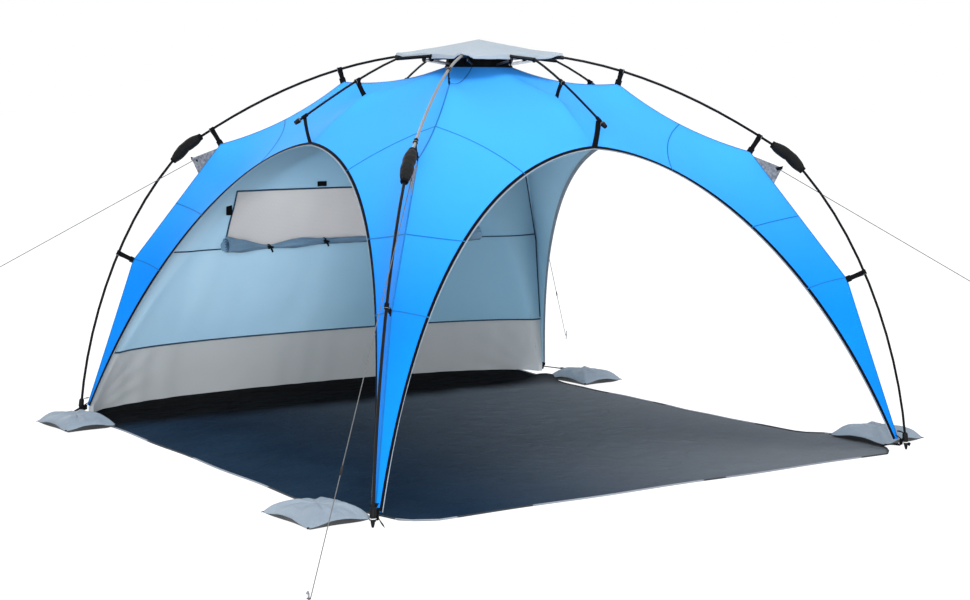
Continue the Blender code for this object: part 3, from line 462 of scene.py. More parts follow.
def block(size, bevel, matrix):
    """A small moulded block with rounded edges."""
    bm = bmesh.new()
    bmesh.ops.create_cube(bm, size=1.0)
    bmesh.ops.scale(bm, vec=size, verts=bm.verts)
    bmesh.ops.bevel(bm, geom=bm.edges[:], offset=bevel, segments=2, profile=0.5, affect="EDGES",
                    material=-1)
    bmesh.ops.transform(bm, matrix=matrix, verts=bm.verts)
    return bm


def ring_points(middle, side, top, count=24):
    """A closed ring of points round a middle, through the ends of its two radii."""
    return [middle + side * math.cos(t) + top * math.sin(t)
            for t in (2 * math.pi * k / count for k in range(count + 1))]


def spread(start, end, count):
    return [start + (end - start) * k / count for k in range(count + 1)]


def bend(obj, corner, upper, lower, span):
    """Bakes a piece's placement into its mesh and turns a span drawn in its corner's upright plane to that
    corner; the piece does not bend, and the two bodies are not used.
    """
    start, end = (spun(point, CORNERS[corner]) for point in span)
    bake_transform(obj)
    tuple(start)
    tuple(end)


# Materials

def new_material(name):
    material = bpy.data.materials.new(name)
    material.use_nodes = True
    tree = material.node_tree
    tree.nodes.clear()
    shader = add(tree, "BsdfPrincipled")
    add(tree, "OutputMaterial", {"Surface": shader.outputs["BSDF"]})
    return material, tree, shader


def surface_from(tree, socket):
    output = next(n for n in tree.nodes if n.type == "OUTPUT_MATERIAL")
    tree.links.new(socket, output.inputs["Surface"])


def two_tone(tree, factor, low, high):
    """A colour that runs from one hex tone to another."""
    tones = {6: linear(low), 7: linear(high)}
    return add(tree, "Mix", {0: factor}, tones, data_type="RGBA").outputs[2]


def bumped(tree, height, strength, distance, links=None):
    """The normal of a relief, at a strength and a depth in metres."""
    bump = add(tree, "Bump", dict(links or {}, Height=height),
               {"Strength": strength, "Distance": distance})
    return bump.outputs["Normal"]


def finished(made, colour, normal, values):
    """The new material, with its colour, normal and other values on its shader."""
    material, tree, shader = made
    tree.links.new(colour, shader.inputs["Base Color"])
    tree.links.new(normal, shader.inputs["Normal"])
    for key, value in values.items():
        shader.inputs[key].default_value = value
    return material


def woven_cloth(name, light, dark, thread, weave, fold_size, fold, rough, sheen, patch_size=0.5,
                through=0.0, painted_light_fades=(), gloss=0.25):
    """Woven polyester: two thread directions from the piece's own map, soft folds, a little unevenness in
    the dye. The thread is drawn a few times coarser than the real 0.3 mm, so that it shows. Thin cloth
    also lets a share of the light through. Each fade is painted light and shade: a colour that the cloth
    turns to between two places in metres along an axis."""
    made = new_material(name)
    tree, shader = made[1:]
    coordinates = add(tree, "TexCoord")
    uv, space = coordinates.outputs["UV"], coordinates.outputs["Object"]
    axes = add(tree, "SeparateXYZ", {"Vector": space})
    warp, weft = (
        add(tree, "TexWave", {"Vector": uv}, {"Scale": WAVE / thread}, bands_direction=way)
        for way in "XY"
    )
    cross = add(tree, "Math", {0: warp.outputs["Fac"], 1: weft.outputs["Fac"]}, operation="MULTIPLY")
    folds = add(tree, "TexNoise", {"Vector": space},
                {"Scale": 1 / fold_size, "Detail": 4.0, "Roughness": 0.45, "Distortion": 0.6})
    dye = add(tree, "TexNoise", {"Vector": space},
              {"Scale": 1 / patch_size, "Detail": 3.0, "Roughness": 0.5})
    share = add(tree, "MapRange", {"Value": dye.outputs["Fac"]},
                {"From Min": 0.35, "From Max": 0.65, "To Min": 0.0, "To Max": 1.0})
    tint = two_tone(tree, share.outputs["Result"], light, dark)
    for code, axis, start, end in painted_light_fades:
        amount = add(tree, "MapRange", {"Value": axes.outputs[axis]},
                     {"From Min": start, "From Max": end}, interpolation_type="SMOOTHSTEP")
        tint = add(tree, "Mix", {0: amount.outputs["Result"], 6: tint}, {7: linear(code)},
                   data_type="RGBA").outputs[2]
    grain = add(tree, "MapRange", {"Value": cross.outputs["Value"]},
                {"From Min": 0.0, "From Max": 1.0, "To Min": 0.90, "To Max": 1.03})
    tint = add(tree, "Mix", {6: tint, 7: grain.outputs["Result"]}, {0: 1.0}, data_type="RGBA",
               blend_type="MULTIPLY").outputs[2]
    low = bumped(tree, folds.outputs["Fac"], fold, FOLD_DEPTH)
    high = bumped(tree, cross.outputs["Value"], weave, THREAD_DEPTH, {"Normal": low})
    if through:
        glow = add(tree, "BsdfTranslucent", {"Color": tint, "Normal": low})
        both = add(tree, "MixShader", {1: shader.outputs["BSDF"], 2: glow.outputs["BSDF"]},
                   {0: through})
        surface_from(tree, both.outputs["Shader"])
    return finished(made, tint, high, {"Roughness": rough, "Sheen Weight": sheen,
                                       "Sheen Roughness": 0.5, "Specular IOR Level": gloss})


def webbing(name, light, dark, sheen=0.05):
    """Woven nylon webbing: ribs across the tape every 2 mm, a dull sheen."""
    made = new_material(name)
    tree = made[1]
    uv = add(tree, "TexCoord").outputs["UV"]
    ribs = add(tree, "TexWave", {"Vector": uv}, {"Scale": WAVE / RIB, "Distortion": 0.4},
               bands_direction="Y").outputs["Fac"]
    return finished(made, two_tone(tree, ribs, dark, light), bumped(tree, ribs, 0.6, 0.0006),
                    {"Roughness": 0.72, "Sheen Weight": sheen, "Specular IOR Level": 0.05})


def stitched(name, light, dark):
    """A felled seam: a double row of lockstitch, 4 mm a stitch, along a folded edge."""
    made = new_material(name)
    tree = made[1]
    uv = add(tree, "TexCoord").outputs["UV"]
    parts = add(tree, "SeparateXYZ", {"Vector": uv})
    stitch = add(tree, "TexWave", {"Vector": uv}, {"Scale": WAVE / STITCH}, bands_direction="Y")
    row = add(tree, "Math", {0: parts.outputs["X"]}, {1: SEAM_WIDTH / 2}, operation="PINGPONG")
    near = add(tree, "Math", {0: row.outputs["Value"]}, {1: SEAM_WIDTH * 0.3},
               operation="GREATER_THAN")
    dash = add(tree, "Math", {0: stitch.outputs["Fac"], 1: near.outputs["Value"]},
               operation="MULTIPLY").outputs["Value"]
    return finished(made, two_tone(tree, dash, light, dark), bumped(tree, dash, 0.5, 0.0005),
                    {"Roughness": 0.6, "Specular IOR Level": 0.1})


def coated_metal(name, light, dark, rough, metallic, grain, gloss=0.5):
    """Drawn tube or sheet metal: fine scuffs and dust in the finish."""
    made = new_material(name)
    tree, shader = made[1:]
    space = add(tree, "TexCoord").outputs["Object"]
    scuff = add(tree, "TexNoise", {"Vector": space},
                {"Scale": 1 / grain, "Detail": 5.0, "Roughness": 0.6}).outputs["Fac"]
    dull = add(tree, "MapRange", {"Value": scuff},
               {"From Min": 0.3, "From Max": 0.7, "To Min": rough - 0.06, "To Max": rough + 0.08})
    tree.links.new(dull.outputs["Result"], shader.inputs["Roughness"])
    return finished(made, two_tone(tree, scuff, dark, light), bumped(tree, scuff, 0.15, 0.0003),
                    {"Specular IOR Level": gloss, "Metallic": metallic})


def moulded_plastic(name, light, dark, rough, gloss=0.5):
    """Injection-moulded nylon or rubber: a fine spark-eroded grain and a faint cloudy unevenness."""
    made = new_material(name)
    tree = made[1]
    space = add(tree, "TexCoord").outputs["Object"]
    cells = add(tree, "TexVoronoi", {"Vector": space}, {"Scale": 1 / MOULD_GRAIN}, feature="F1")
    cloud = add(tree, "TexNoise", {"Vector": space}, {"Scale": 25.0, "Detail": 3.0})
    return finished(made, two_tone(tree, cloud.outputs["Fac"], dark, light),
                    bumped(tree, cells.outputs["Distance"], 0.25, 0.0002),
                    {"Roughness": rough, "Specular IOR Level": gloss})


# The canopy: plain-weave polyester with a coating, bright sky blue; its paler tone toward the crown is
# painted light, where the light from above falls; its lining side is grey-blue
CANOPY = woven_cloth("canopy_polyester_blue", "#0386ea", "#027ee2", 0.0030, 0.20, 0.16, 0.08, 0.66, 0.0,
                     through=0.15, painted_light_fades=(("#3da2f9", "Z", 0.50, 1.30),), gloss=0.09)
LINING = woven_cloth("canopy_lining_grey_blue", "#b3dff2", "#a9d6ea", 0.0030, 0.25, 0.16, 0.10, 0.70, 0.03,
                     through=0.12, gloss=0.15)
# The back wall: the same cloth in a pale grey-blue; its deeper tone toward its top and right is painted
# shade inside the tent
WALL = woven_cloth("wall_polyester_pale_blue", "#c8e8f8", "#bfe1f4", 0.0030, 0.22, 0.20, 0.14, 0.68, 0.05,
                   through=0.3, painted_light_fades=(("#98c2da", "Z", 0.70, 1.16), ("#93bdd3", "X", -0.48, 0.38)))
# The band's darker tone toward the right is painted shade, as on the wall
BAND = woven_cloth("band_polyester_grey", "#dadfe1", "#d1d6d8", 0.0030, 0.25, 0.16, 0.20, 0.72, 0.05,
                   through=0.2, painted_light_fades=(("#b8bec1", "X", -0.55, 0.0),))
MESH = woven_cloth("window_netting_sand_grey", "#dadada", "#d3d2d3", 0.0060, 0.60, 0.14, 0.10, 0.80, 0.05,
                   through=0.3)
ROLL = woven_cloth("rolled_flap_grey_blue", "#6c8ba3", "#4f6c84", 0.0030, 0.30, 0.05, 0.30, 0.66, 0.08)
# The groundsheet: coated oxford cloth, navy; its greyer tone to the right is a painted sheen of light
# glancing off it, and its black along the wall is painted shade
FLOOR = woven_cloth("groundsheet_oxford_navy", "#192c3e", "#142537", 0.0040, 0.40, 0.06, 1.0, 0.74, 0.0,
                    0.35, painted_light_fades=(("#62676c", "X", -0.9, 0.8), ("#04060a", "Y", 0.74, 0.96)), gloss=0.02)
FLOOR_EDGE = woven_cloth("groundsheet_binding_grey", "#868c93", "#757b83", 0.0030, 0.40, 0.05, 0.2, 0.70,
                         0.05)
POCKET = woven_cloth("pocket_polyester_grey", "#89959f", "#75818c", 0.0030, 0.35, 0.045, 0.60, 0.66, 0.04)
# Dark cloth: on the sand pockets it is painted shade on their undersides; on the groundsheet binding it
# gives the dark stretches
POCKET_SHADE_AND_DARK_BINDING = woven_cloth("pocket_painted_shade_and_binding_dark", "#22272c", "#181c20", 0.0030, 0.35, 0.045, 0.35, 0.65, 0.03)
CAP = woven_cloth("rain_cap_polyester_grey", "#98a2a9", "#8c969e", 0.0030, 0.30, 0.10, 0.22, 0.66, 0.04)
PATCH = woven_cloth("guy_patch_melange_grey", "#797d84", "#53575e", 0.0022, 0.60, 0.05, 0.20, 0.75, 0.10,
                    0.010)
SLEEVE = woven_cloth("sleeve_neoprene_black", "#0f1012", "#090a0b", 0.0020, 0.50, 0.018, 0.70, 0.70, 0.03,
                     gloss=0.12)
STRAP = webbing("webbing_nylon_black", "#0e0f11", "#060708", 0.0)
TAPE = webbing("arch_binding_black", "#090b10", "#050609", 0.0)
HEM = webbing("arch_hem_grey", "#8c97a3", "#7b8692")
SEAM = stitched("canopy_seam_blue", "#14669f", "#0d4c7c")
WALL_SEAM = stitched("wall_seam_slate", "#2a4258", "#1b2e40")
POLE = coated_metal("pole_anodised_black", "#0b0c0e", "#070809", 0.42, 0.0, 0.004, gloss=0.10)
# The front arm pole is black like the others; its silver-grey here is a painted highlight where it catches
# the light
POLE_PAINTED_HIGHLIGHT = coated_metal("pole_painted_highlight_silver_grey", "#8f8d8a", "#757371", 0.36, 0.6, 0.004)
STEEL = coated_metal("link_zinc_plated", "#a9adb2", "#85898e", 0.34, 1.0, 0.003)
HUB = moulded_plastic("hub_nylon_black", "#141517", "#0a0b0c", 0.46, 0.16)
RUBBER = moulded_plastic("foot_rubber_black", "#121315", "#090a0b", 0.62, 0.12)
RING = moulded_plastic("ring_acetal_grey", "#6d6b66", "#55534f", 0.38)
FOOT_RING = moulded_plastic("foot_ring_acetal_white", "#d9d8d4", "#c6c5c0", 0.38)
CORD = webbing("guy_cord_braided_grey", "#6b6c6a", "#434443")


# Lines of the frame and of the canopy
ARM_LINE = bezier(
    SOCKET_END, SOCKET_END + slope(ARM_SLOPES[0], ARM_HANDLE),
    ELBOW - slope(ARM_SLOPES[1], ARM_HANDLE), ELBOW, 12,
)
LEG_LINE = bezier(
    ELBOW, ELBOW + slope(LEG_SLOPES[0], LEG_HANDLES[0]),
    FOOT_TOP - slope(LEG_SLOPES[1], LEG_HANDLES[1]), FOOT_TOP, 12,
)
STRUT_LINE = bezier(
    STRUT_START, STRUT_START + slope(STRUT_SLOPES[0], STRUT_HANDLE),
    STRUT_TIP - slope(STRUT_SLOPES[1], STRUT_HANDLE), STRUT_TIP, 7,
)
TOP_STRAP = under(ARM_LINE, TOP_STRAP_AT, TOP_STRAP_DROP)
SHOULDER_STRAP = under(ARM_LINE, SHOULDER_STRAP_AT, SHOULDER_STRAP_DROP)
SHIN_STRAP = under(LEG_LINE, SHIN_STRAP_AT, SHIN_STRAP_DROP)
STRUT_STRAP = under(STRUT_LINE, STRUT_STRAP_AT, STRUT_STRAP_DROP)
CROWN = STRUT_TIP + CROWN_OFFSET
RIDGE = hang(COLLAR, TOP_STRAP, COLLAR_SAG, 16) + hang(TOP_STRAP, SHOULDER_STRAP, SHOULDER_SAG, 22)
RIDGE += hang(SHOULDER_STRAP, SHIN_STRAP, 0.0, 8) + hang(SHIN_STRAP, TIP, 0.0, 8) + [TIP]
SIDE_LINE = hang(COLLAR, STRUT_STRAP, 0.008, 12) + hang(STRUT_STRAP, CROWN, -0.004, 10) + [CROWN]
HALF = math.sqrt(0.5)
ARCH_FOOT = Vector((TIP.x * HALF - 2 * TIP_HALF_WIDTH * HALF, TIP.x * HALF, TIP.z))
ARCH_PLAN = bezier(
    Vector((0, CROWN.x, CROWN.z)), Vector((0, CROWN.x, CROWN.z)) + ARCH_CROWN_HANDLE,
    ARCH_FOOT + ARCH_FOOT_HANDLE, ARCH_FOOT, 72,
)
ARCH = [Vector(((p.x + p.y) * HALF, (p.y - p.x) * HALF, p.z)) for p in ARCH_PLAN]
RIDGE_SEAM_PART = part_at_reach(RIDGE, SEAM_REACH)
SEAM_PART = 1.0 - ARCH_SEAM_AT
SEAM_TOP = at_length(RIDGE, RIDGE_SEAM_PART)
SEAM_END = at_length(ARCH, SEAM_PART)


def seam_line(t):
    """The curved seam from the ridge to the arch, bowed up toward the hub."""
    toward_hub = Vector((-0.92, 0.18, 0.34))
    return SEAM_TOP.lerp(SEAM_END, t) + toward_hub * SEAM_BOW * 4 * t * (1 - t)


def filled(left, right, top, bottom):
    """A function that fills four edges, by blending between opposite ones."""
    def place(a, b):
        point = left(b) * (1 - a) + right(b) * a + top(a) * (1 - b) + bottom(a) * b
        point -= top(0) * (1 - a) * (1 - b) + top(1) * a * (1 - b)
        point -= bottom(0) * (1 - a) * b + bottom(1) * a * b
        return point

    return place


ROOF_RIDGE_AT = knots((0.0, part_at_reach(RIDGE, TOP_STRAP.x), RIDGE_SEAM_PART), (0.0, 0.625, 1.0))
ROOF_SIDE_AT = knots((0.0, part_at_reach(SIDE_LINE, STRUT_STRAP.x), 1.0), (0.0, 0.625, 1.0))
LEG_RIDGE_AT = knots(
    (RIDGE_SEAM_PART, part_at_reach(RIDGE, SHOULDER_STRAP.x), part_at_reach(RIDGE, SHIN_STRAP.x), 1.0),
    (0.0, 3 / 12, 7 / 12, 1.0),
)
LEG_ARCH_AT = knots((SEAM_PART, 1.0), (0.0, 1.0))


def roof_bottom(a):
    if a <= SEAM_SHARE:
        return seam_line(a / SEAM_SHARE)
    return at_length(ARCH, SEAM_PART * (1 - (a - SEAM_SHARE) / (1 - SEAM_SHARE)))


ROOF_GRID = (30, 34)
LEG_GRID = (18, 64)
roof_at = relaxed(filled(
    lambda b: at_length(RIDGE, ROOF_RIDGE_AT(b)),
    lambda b: spun(at_length(SIDE_LINE, ROOF_SIDE_AT(b)), 45),
    lambda a: spun(COLLAR, 45 * a),
    roof_bottom,
), *ROOF_GRID, 90)
leg_at = relaxed(filled(
    lambda b: at_length(RIDGE, LEG_RIDGE_AT(b)),
    lambda b: at_length(ARCH, LEG_ARCH_AT(b)),
    seam_line,
    lambda a: TIP.lerp(ARCH[-1], a),
), *LEG_GRID, 40)


# Camera
eye = bpy.data.objects.new("camera", bpy.data.cameras.new("camera"))
bpy.context.scene.collection.objects.link(eye)
forward = Vector((math.sin(CAMERA_YAW) * math.cos(CAMERA_DOWN),
                  math.cos(CAMERA_YAW) * math.cos(CAMERA_DOWN), -math.sin(CAMERA_DOWN)))
right = Vector((math.cos(CAMERA_YAW), -math.sin(CAMERA_YAW), 0))
upward = right.cross(forward)
level = right * math.cos(CAMERA_ROLL) + upward * math.sin(CAMERA_ROLL)
upward = upward * math.cos(CAMERA_ROLL) - right * math.sin(CAMERA_ROLL)
pose = Matrix((level, upward, -forward)).transposed().to_4x4()
pose.translation = CAMERA_AT
eye.matrix_world = pose
eye.data.lens = CAMERA_LENS
eye.data.sensor_width = 36.0
eye.data.sensor_fit = "HORIZONTAL"
eye.data.clip_end = 200.0
bpy.context.scene.camera = eye


# Guy lines: braided cord from the patch by each elbow to its peg, with a sliding tensioner
for corner, angle in CORNERS.items():
    reach = GUY_REACH[corner]
    start = PATCH_TIP + Vector((-0.012, (PATCH_THICKNESS + GUY_DIAMETER) / 2 + GAP, -0.006))
    end = Vector((reach + PEG_LEAN * 0.6, GUY_SIDE + PEG_RADIUS + GUY_DIAMETER / 2 + GAP,
                  PEG_HEIGHT * 0.5))
    pass_by = start.lerp(end, 0.1)
    pass_by.y = POLE_RADIUS + GUY_DIAMETER
    turns = [start, pass_by, start.lerp(end, 0.5), end]
    route = [at_length(turns, k / 30) for k in range(31)]
    line = piece(f"guy_line_{corner}", tube(route, GUY_DIAMETER / 2, 8), CORD,
                 turn=angle)
    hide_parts(f"guy_{corner}")
    loop_at = end + Vector((0, -PEG_RADIUS - GUY_DIAMETER / 2 - GAP, 0))
    ring = [
        loop_at + Vector((math.cos(t) * 0.0052, math.sin(t) * 0.0052, 0.0016 * k / 24 - 0.001))
        for k, t in ((k, 2 * math.pi * k / 24) for k in range(26))
    ]
    loop = piece(f"guy_loop_{corner}", tube(ring, GUY_DIAMETER * 0.42, 6), CORD, ROOT,
                 angle)
    slide_at, slide_way = along(route, 0.74)
    turn = Vector((1, 0, 0)).rotation_difference(slide_way).to_matrix().to_4x4()
    slide = block((0.036, 0.005, 0.011), 0.0018, Matrix.Translation(slide_at) @ turn)
    tensioner = piece(f"guy_tensioner_{corner}", slide, HUB, turn=angle)
    for obj in (line, tensioner):
        bend(obj, corner, ROOT, f"arm_{corner}", (end, start))
    path = [spun(p, angle) for p in route]
    length = lengths_of(path)[-1]
    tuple(path[0])


def level_line(at_ridge, at_arch):
    """A seam across a leg, from a height on its ridge to a height on the arch."""
    line = []
    for k in range(17):
        a = k / 16
        height = at_ridge + (at_arch - at_ridge) * a
        low, high = 0.0, 1.0
        for _ in range(24):
            b = (low + high) / 2
            low, high = (b, high) if leg_at(a, b).z > height else (low, b)
        line.append((a, low))
    return line


def edge_of(place, line, inward):
    """The points of a line on the cloth, and the points a little further in."""
    edges = [place(a, b) for a, b in line]
    return edges, [place(a + inward[0], b + inward[1]) for a, b in line]


# Lines on the cloth, as pairs of fractions: its arch edge, and its seams with the way in from each
RIDGE_SEAM = [(0.0, k / 40) for k in range(41)]
CLOTHS = (
    ("roof", roof_at, [(SEAM_SHARE + (1 - SEAM_SHARE) * k / 24, 1.0) for k in range(25)], (0, -0.03),
     (([(SEAM_SHARE * k / 16, 1.0) for k in range(17)], (0, -0.03)),)),
    ("leg", leg_at, [(1.0, k / 60) for k in range(61)], (-0.05, 0),
     ((level_line(0.668, 0.632), (0, 0.02)), (level_line(0.905, 0.870), (0, 0.02)))),
)
# The half of a corner's arch edge that the back wall is sewn to
SEWN_HALF = {"back_left": -1, "back_right": 1}

# Canopy cloth, one roof field and one leg for each corner
for corner, angle in CORNERS.items():
    seed = Vector((angle, 0, 0)) / 10
    joints = {"roof": (ROOT, f"arm_{corner}", ROOF_BEND),
              "leg": (f"arm_{corner}", f"leg_{corner}", LEG_BEND)}

    def draped(place, a, b):
        point = place(a, b)
        free = min(a, 1 - a) * min(b, 1 - b) * 16
        sag = crease(point + seed, 0.22, 0.0022) * min(free, 1.0)
        return point + Vector((-0.3, 0, 0.6)) * sag

    roof = both_sides(surface(*ROOF_GRID, lambda a, b: draped(roof_at, a, b), 0.85, 0.75))
    size = area_of(roof)
    obj = piece(f"roof_cloth_{corner}", lined(thicken(roof, CLOTH)), [CANOPY, LINING],
                turn=angle)
    bend(obj, corner, *joints["roof"])
    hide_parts("canopy_roof")

    leg = both_sides(surface(*LEG_GRID, lambda a, b: draped(leg_at, a, b), 0.30, 1.45))
    size = area_of(leg)
    obj = piece(f"leg_cloth_{corner}", lined(thicken(leg, CLOTH)), [CANOPY, LINING],
                turn=angle)
    bend(obj, corner, *joints["leg"])
    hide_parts(f"canopy_leg_{corner}")

    # Binding and hem along the arches, seams along the ridge and across the leg
    for where, place, arch, inward, crossings in CLOTHS:
        edges, inners = edge_of(place, arch, inward)
        tapes, hems = [], []
        for half in (-1, 1):
            # The back wall is sewn on inside the back arch, so there the binding shows outside only
            sewn = half == SEWN_HALF.get(corner)
            outward = TAPE_THICKNESS / 2 if sewn else 0.0
            tapes.append(on_side(strip(edges, inners, -0.001, TAPE_WIDTH, TAPE_THICKNESS,
                                       lift=outward, across=2), half))
            if not sewn:
                inside = -(TAPE_THICKNESS + HEM_THICKNESS) / 2 - 0.0002
                hems.append(on_side(strip(edges, inners, -HEM_SHOWS, HEM_WIDTH, HEM_THICKNESS,
                                          lift=inside), half))
        tape = piece(f"arch_binding_{where}_{corner}", merged(tapes), TAPE,
                     turn=angle)
        hem = piece(f"arch_hem_{where}_{corner}", merged(hems), HEM, turn=angle)
        felled = dict(thickness=SEAM_THICKNESS, lift=SEAM_THICKNESS / 2)
        edges, inners = edge_of(place, RIDGE_SEAM, (0.03, 0))
        shapes = [both_sides(strip(edges, inners, 0.0, SEAM_WIDTH * 0.6, **felled))]
        for line, way in crossings:
            edges, inners = edge_of(place, line, way)
            shapes.append(both_sides(strip(edges, inners, -SEAM_WIDTH / 2, SEAM_WIDTH, **felled)))
        seams = piece(f"canopy_seams_{where}_{corner}", merged(shapes), SEAM,
                      turn=angle)
        for obj in (tape, hem, seams):
            bend(obj, corner, *joints[where])


# Straps: a webbing loop round a pole, a tab down to the cloth, and a moulded ring
def pole_loop(points, fraction, radius, width):
    point, heading = along(points, fraction)
    line = [point + heading * width * (t - 0.5) for t in (0, 0.12, 0.5, 0.88, 1)]
    outer = radius + 0.0007 + WEBBING_THICKNESS
    return tube(line, lambda a, b: outer * (0.94 if b in (0, 1) else 1.0), 16)


def tab(start, end, width, across=Vector((0, 1, 0)), narrow=1.0):
    """A flat length of webbing from one point to another, its middle drawn in a little."""
    way = (end - start).normalized()
    face = way.cross(across).normalized()

    def place(a, b):
        pinch = 1 - (1 - narrow) * math.sin(math.pi * b)
        bulge = face * 0.0025 * math.sin(math.pi * b)
        return start.lerp(end, b) + across * (a - 0.5) * width * pinch + bulge

    return thicken(surface(2, 8, place, width, (end - start).length), WEBBING_THICKNESS)


def ring_on(points, fraction, radius, size, offset):
    point, heading = along(points, fraction)
    side = Vector((0, 1, 0))
    loop = ring_points(point + heading * offset, side * radius, heading.cross(side) * radius)
    return tube(loop, size, 8)


for corner, angle in CORNERS.items():
    spots = (
        ("top", ARM_LINE, TOP_STRAP_AT, TOP_STRAP, f"arm_{corner}"),
        ("shoulder", ARM_LINE, SHOULDER_STRAP_AT, SHOULDER_STRAP, f"arm_{corner}"),
        ("shin", LEG_LINE, SHIN_STRAP_AT, SHIN_STRAP, f"leg_{corner}"),
    )
    for where, line, fraction, low, body in spots:
        point, heading = along(line, fraction)
        toward = (low - point).normalized()
        start = point + toward * (POLE_RADIUS + 0.001)
        shapes = [
            pole_loop(line, fraction, POLE_RADIUS, WEBBING * 0.8),
            tab(start, low + toward * 0.006, WEBBING * 0.86, across=heading, narrow=0.86),
            tab(low - toward * 0.016, low + toward * 0.004, WEBBING, across=heading),
        ]
        piece(f"strap_{where}_{corner}", merged(shapes), STRAP, body, angle)
        ring = ring_on(line, fraction, POLE_RADIUS + 0.0036, 0.0011, WEBBING * 0.30)
        piece(f"strap_ring_{where}_{corner}", ring, RING, body, angle)

for side, angle in SIDES.items():
    body = f"side_{side}"
    point, heading = along(STRUT_LINE, STRUT_STRAP_AT)
    toward = (STRUT_STRAP - point).normalized()
    knob, _ = along(STRUT_LINE, KNOB_STRAP_AT)
    shapes = [
        pole_loop(STRUT_LINE, STRUT_STRAP_AT, STRUT_RADIUS, WEBBING),
        tab(point + toward * 0.004, STRUT_STRAP + toward * 0.006, WEBBING * 0.86, across=heading,
            narrow=0.86),
        pole_loop(STRUT_LINE, KNOB_STRAP_AT, STRUT_RADIUS, WEBBING),
        tab(knob + Vector((0, 0, -0.004)), CROWN + Vector((0.002, 0, 0.004)), WEBBING, narrow=0.92),
    ]
    piece(f"strap_side_{side}", merged(shapes), STRAP, body, angle)
    shapes = [
        ring_on(STRUT_LINE, STRUT_STRAP_AT, STRUT_RADIUS + 0.0036, 0.0011, WEBBING * 0.30),
        ring_on(STRUT_LINE, 1.0, 0.0090, 0.0013, -0.004),
    ]
    piece(f"strap_ring_side_{side}", merged(shapes), RING, body, angle)


# Guy patches: a grey melange triangle between the canopy and the elbow, with a black tip
patch_low = at_length(RIDGE, part_at_reach(RIDGE, SHOULDER_STRAP.x + 0.10))


def patch_place(a, b):
    root = SHOULDER_STRAP.lerp(patch_low, a) + Vector((-0.010, 0, -0.008))
    wave = 0.002 * math.sin(math.pi * b) * math.sin(2 * math.pi * a)
    return root.lerp(PATCH_TIP, b) + Vector((0, wave, 0))


for corner, angle in CORNERS.items():
    shape = cleaned(thicken(surface(8, 10, patch_place, 0.11, 0.12), PATCH_THICKNESS))
    piece(f"guy_patch_{corner}", shape, PATCH, f"arm_{corner}", angle)
    tip_tab = tab(PATCH_TIP + Vector((-0.026, 0.0006, -0.006)),
                  PATCH_TIP + Vector((0.002, 0.0006, 0)), 0.014, across=Vector((0.25, 0, 0.97)))
    piece(f"guy_patch_tip_{corner}", tip_tab, STRAP, f"arm_{corner}", angle)


# Back wall
BACK_ARCH = [Vector((abs(p.x), p.y, p.z)) for p in ARCH_PLAN]


def arch_half(height):
    """Half width of the back doorway's edge, a millimetre above a height."""
    height += 0.001
    for a, b in zip(BACK_ARCH, BACK_ARCH[1:]):
        if b.z <= height <= a.z:
            return a.x + (b.x - a.x) * (a.z - height) / max(a.z - b.z, 1e-9)
    return 0.0 if height > BACK_ARCH[0].z else BACK_ARCH[-1].x


def arch_over(x):
    x = min(abs(x), BACK_ARCH[-1].x)
    for a, b in zip(BACK_ARCH, BACK_ARCH[1:]):
        if a.x <= x <= b.x:
            return a.lerp(b, (x - a.x) / max(b.x - a.x, 1e-9))
    return BACK_ARCH[-1]


def base_y(x):
    part = min(abs(x) / BACK_ARCH[-1].x, 1.0)
    return BACK_ARCH[-1].y + WALL_BULGE * (1 - part**2.6) ** 0.6


def wall_point(x, height, out):
    """A point of the wall without its overlap: from the arch down to the floor's back edge."""
    over = arch_over(x)
    part = max((over.z - height) / (over.z - WALL_LIFT), 0.0)
    return Vector((x, over.y + (base_y(x) - over.y) * part + out, height))


# The back legs' and the roof's cloth, which the wall's sides lie against
shapes = []
for degrees in (CORNERS["back_left"], CORNERS["back_right"]):
    for grid, place in ((LEG_GRID, leg_at), (ROOF_GRID, roof_at)):
        shape = both_sides(surface(*grid, place))
        turned = Matrix.Rotation(math.radians(degrees), 3, "Z").to_4x4()
        bmesh.ops.transform(shape, matrix=turned, verts=shape.verts)
        shapes.append(shape)
lining = merged(shapes)
inner_cloth = BVHTree.FromBMesh(lining)
lining.free()


def eased(value, start, end):
    part = min(max((value - start) / (end - start), 0.0), 1.0)
    return part * part * (3 - 2 * part)


def ridge_half(height):
    """Distance of a back leg's ridge from the middle plane at a height."""
    if height < RIDGE[-1].z:
        return RIDGE[-1].x * HALF
    for a, b in zip(RIDGE, RIDGE[1:]):
        if b.z <= height <= a.z and a.x > SEAM_REACH:
            return (a.x + (b.x - a.x) * (a.z - height) / max(a.z - b.z, 1e-9)) * HALF
    return SEAM_TOP.x * HALF


def overlap(height):
    """How far the wall and the band reach past the doorway's edge, at most to the leg's ridge."""
    return min(WALL_OVERLAP, 0.94 * max(ridge_half(height) - arch_half(height), 0.0))


def wall_half(height):
    """Half width of the wall cloth, with the part that overlaps the legs."""
    edge = arch_half(height)
    return max(edge + overlap(height) * (1 - eased(height, 1.11, WALL_TOP)), 0.001)


def laid_on(x, height, point, gap):
    """The point, moved against the inside of the leg's or roof's cloth as seen from behind."""
    hit = inner_cloth.ray_cast(Vector((x, 3.0, height)), Vector((0, -1, 0)))[0]
    if hit:
        point.y = hit.y - gap
    return point


def window_half(height):
    share = (height - WINDOW_BOTTOM) / (WINDOW_TOP - WINDOW_BOTTOM)
    half = WINDOW_BOTTOM_HALF + (WINDOW_TOP_HALF - WINDOW_BOTTOM_HALF) * share
    return min(half, 0.94 * wall_half(height))


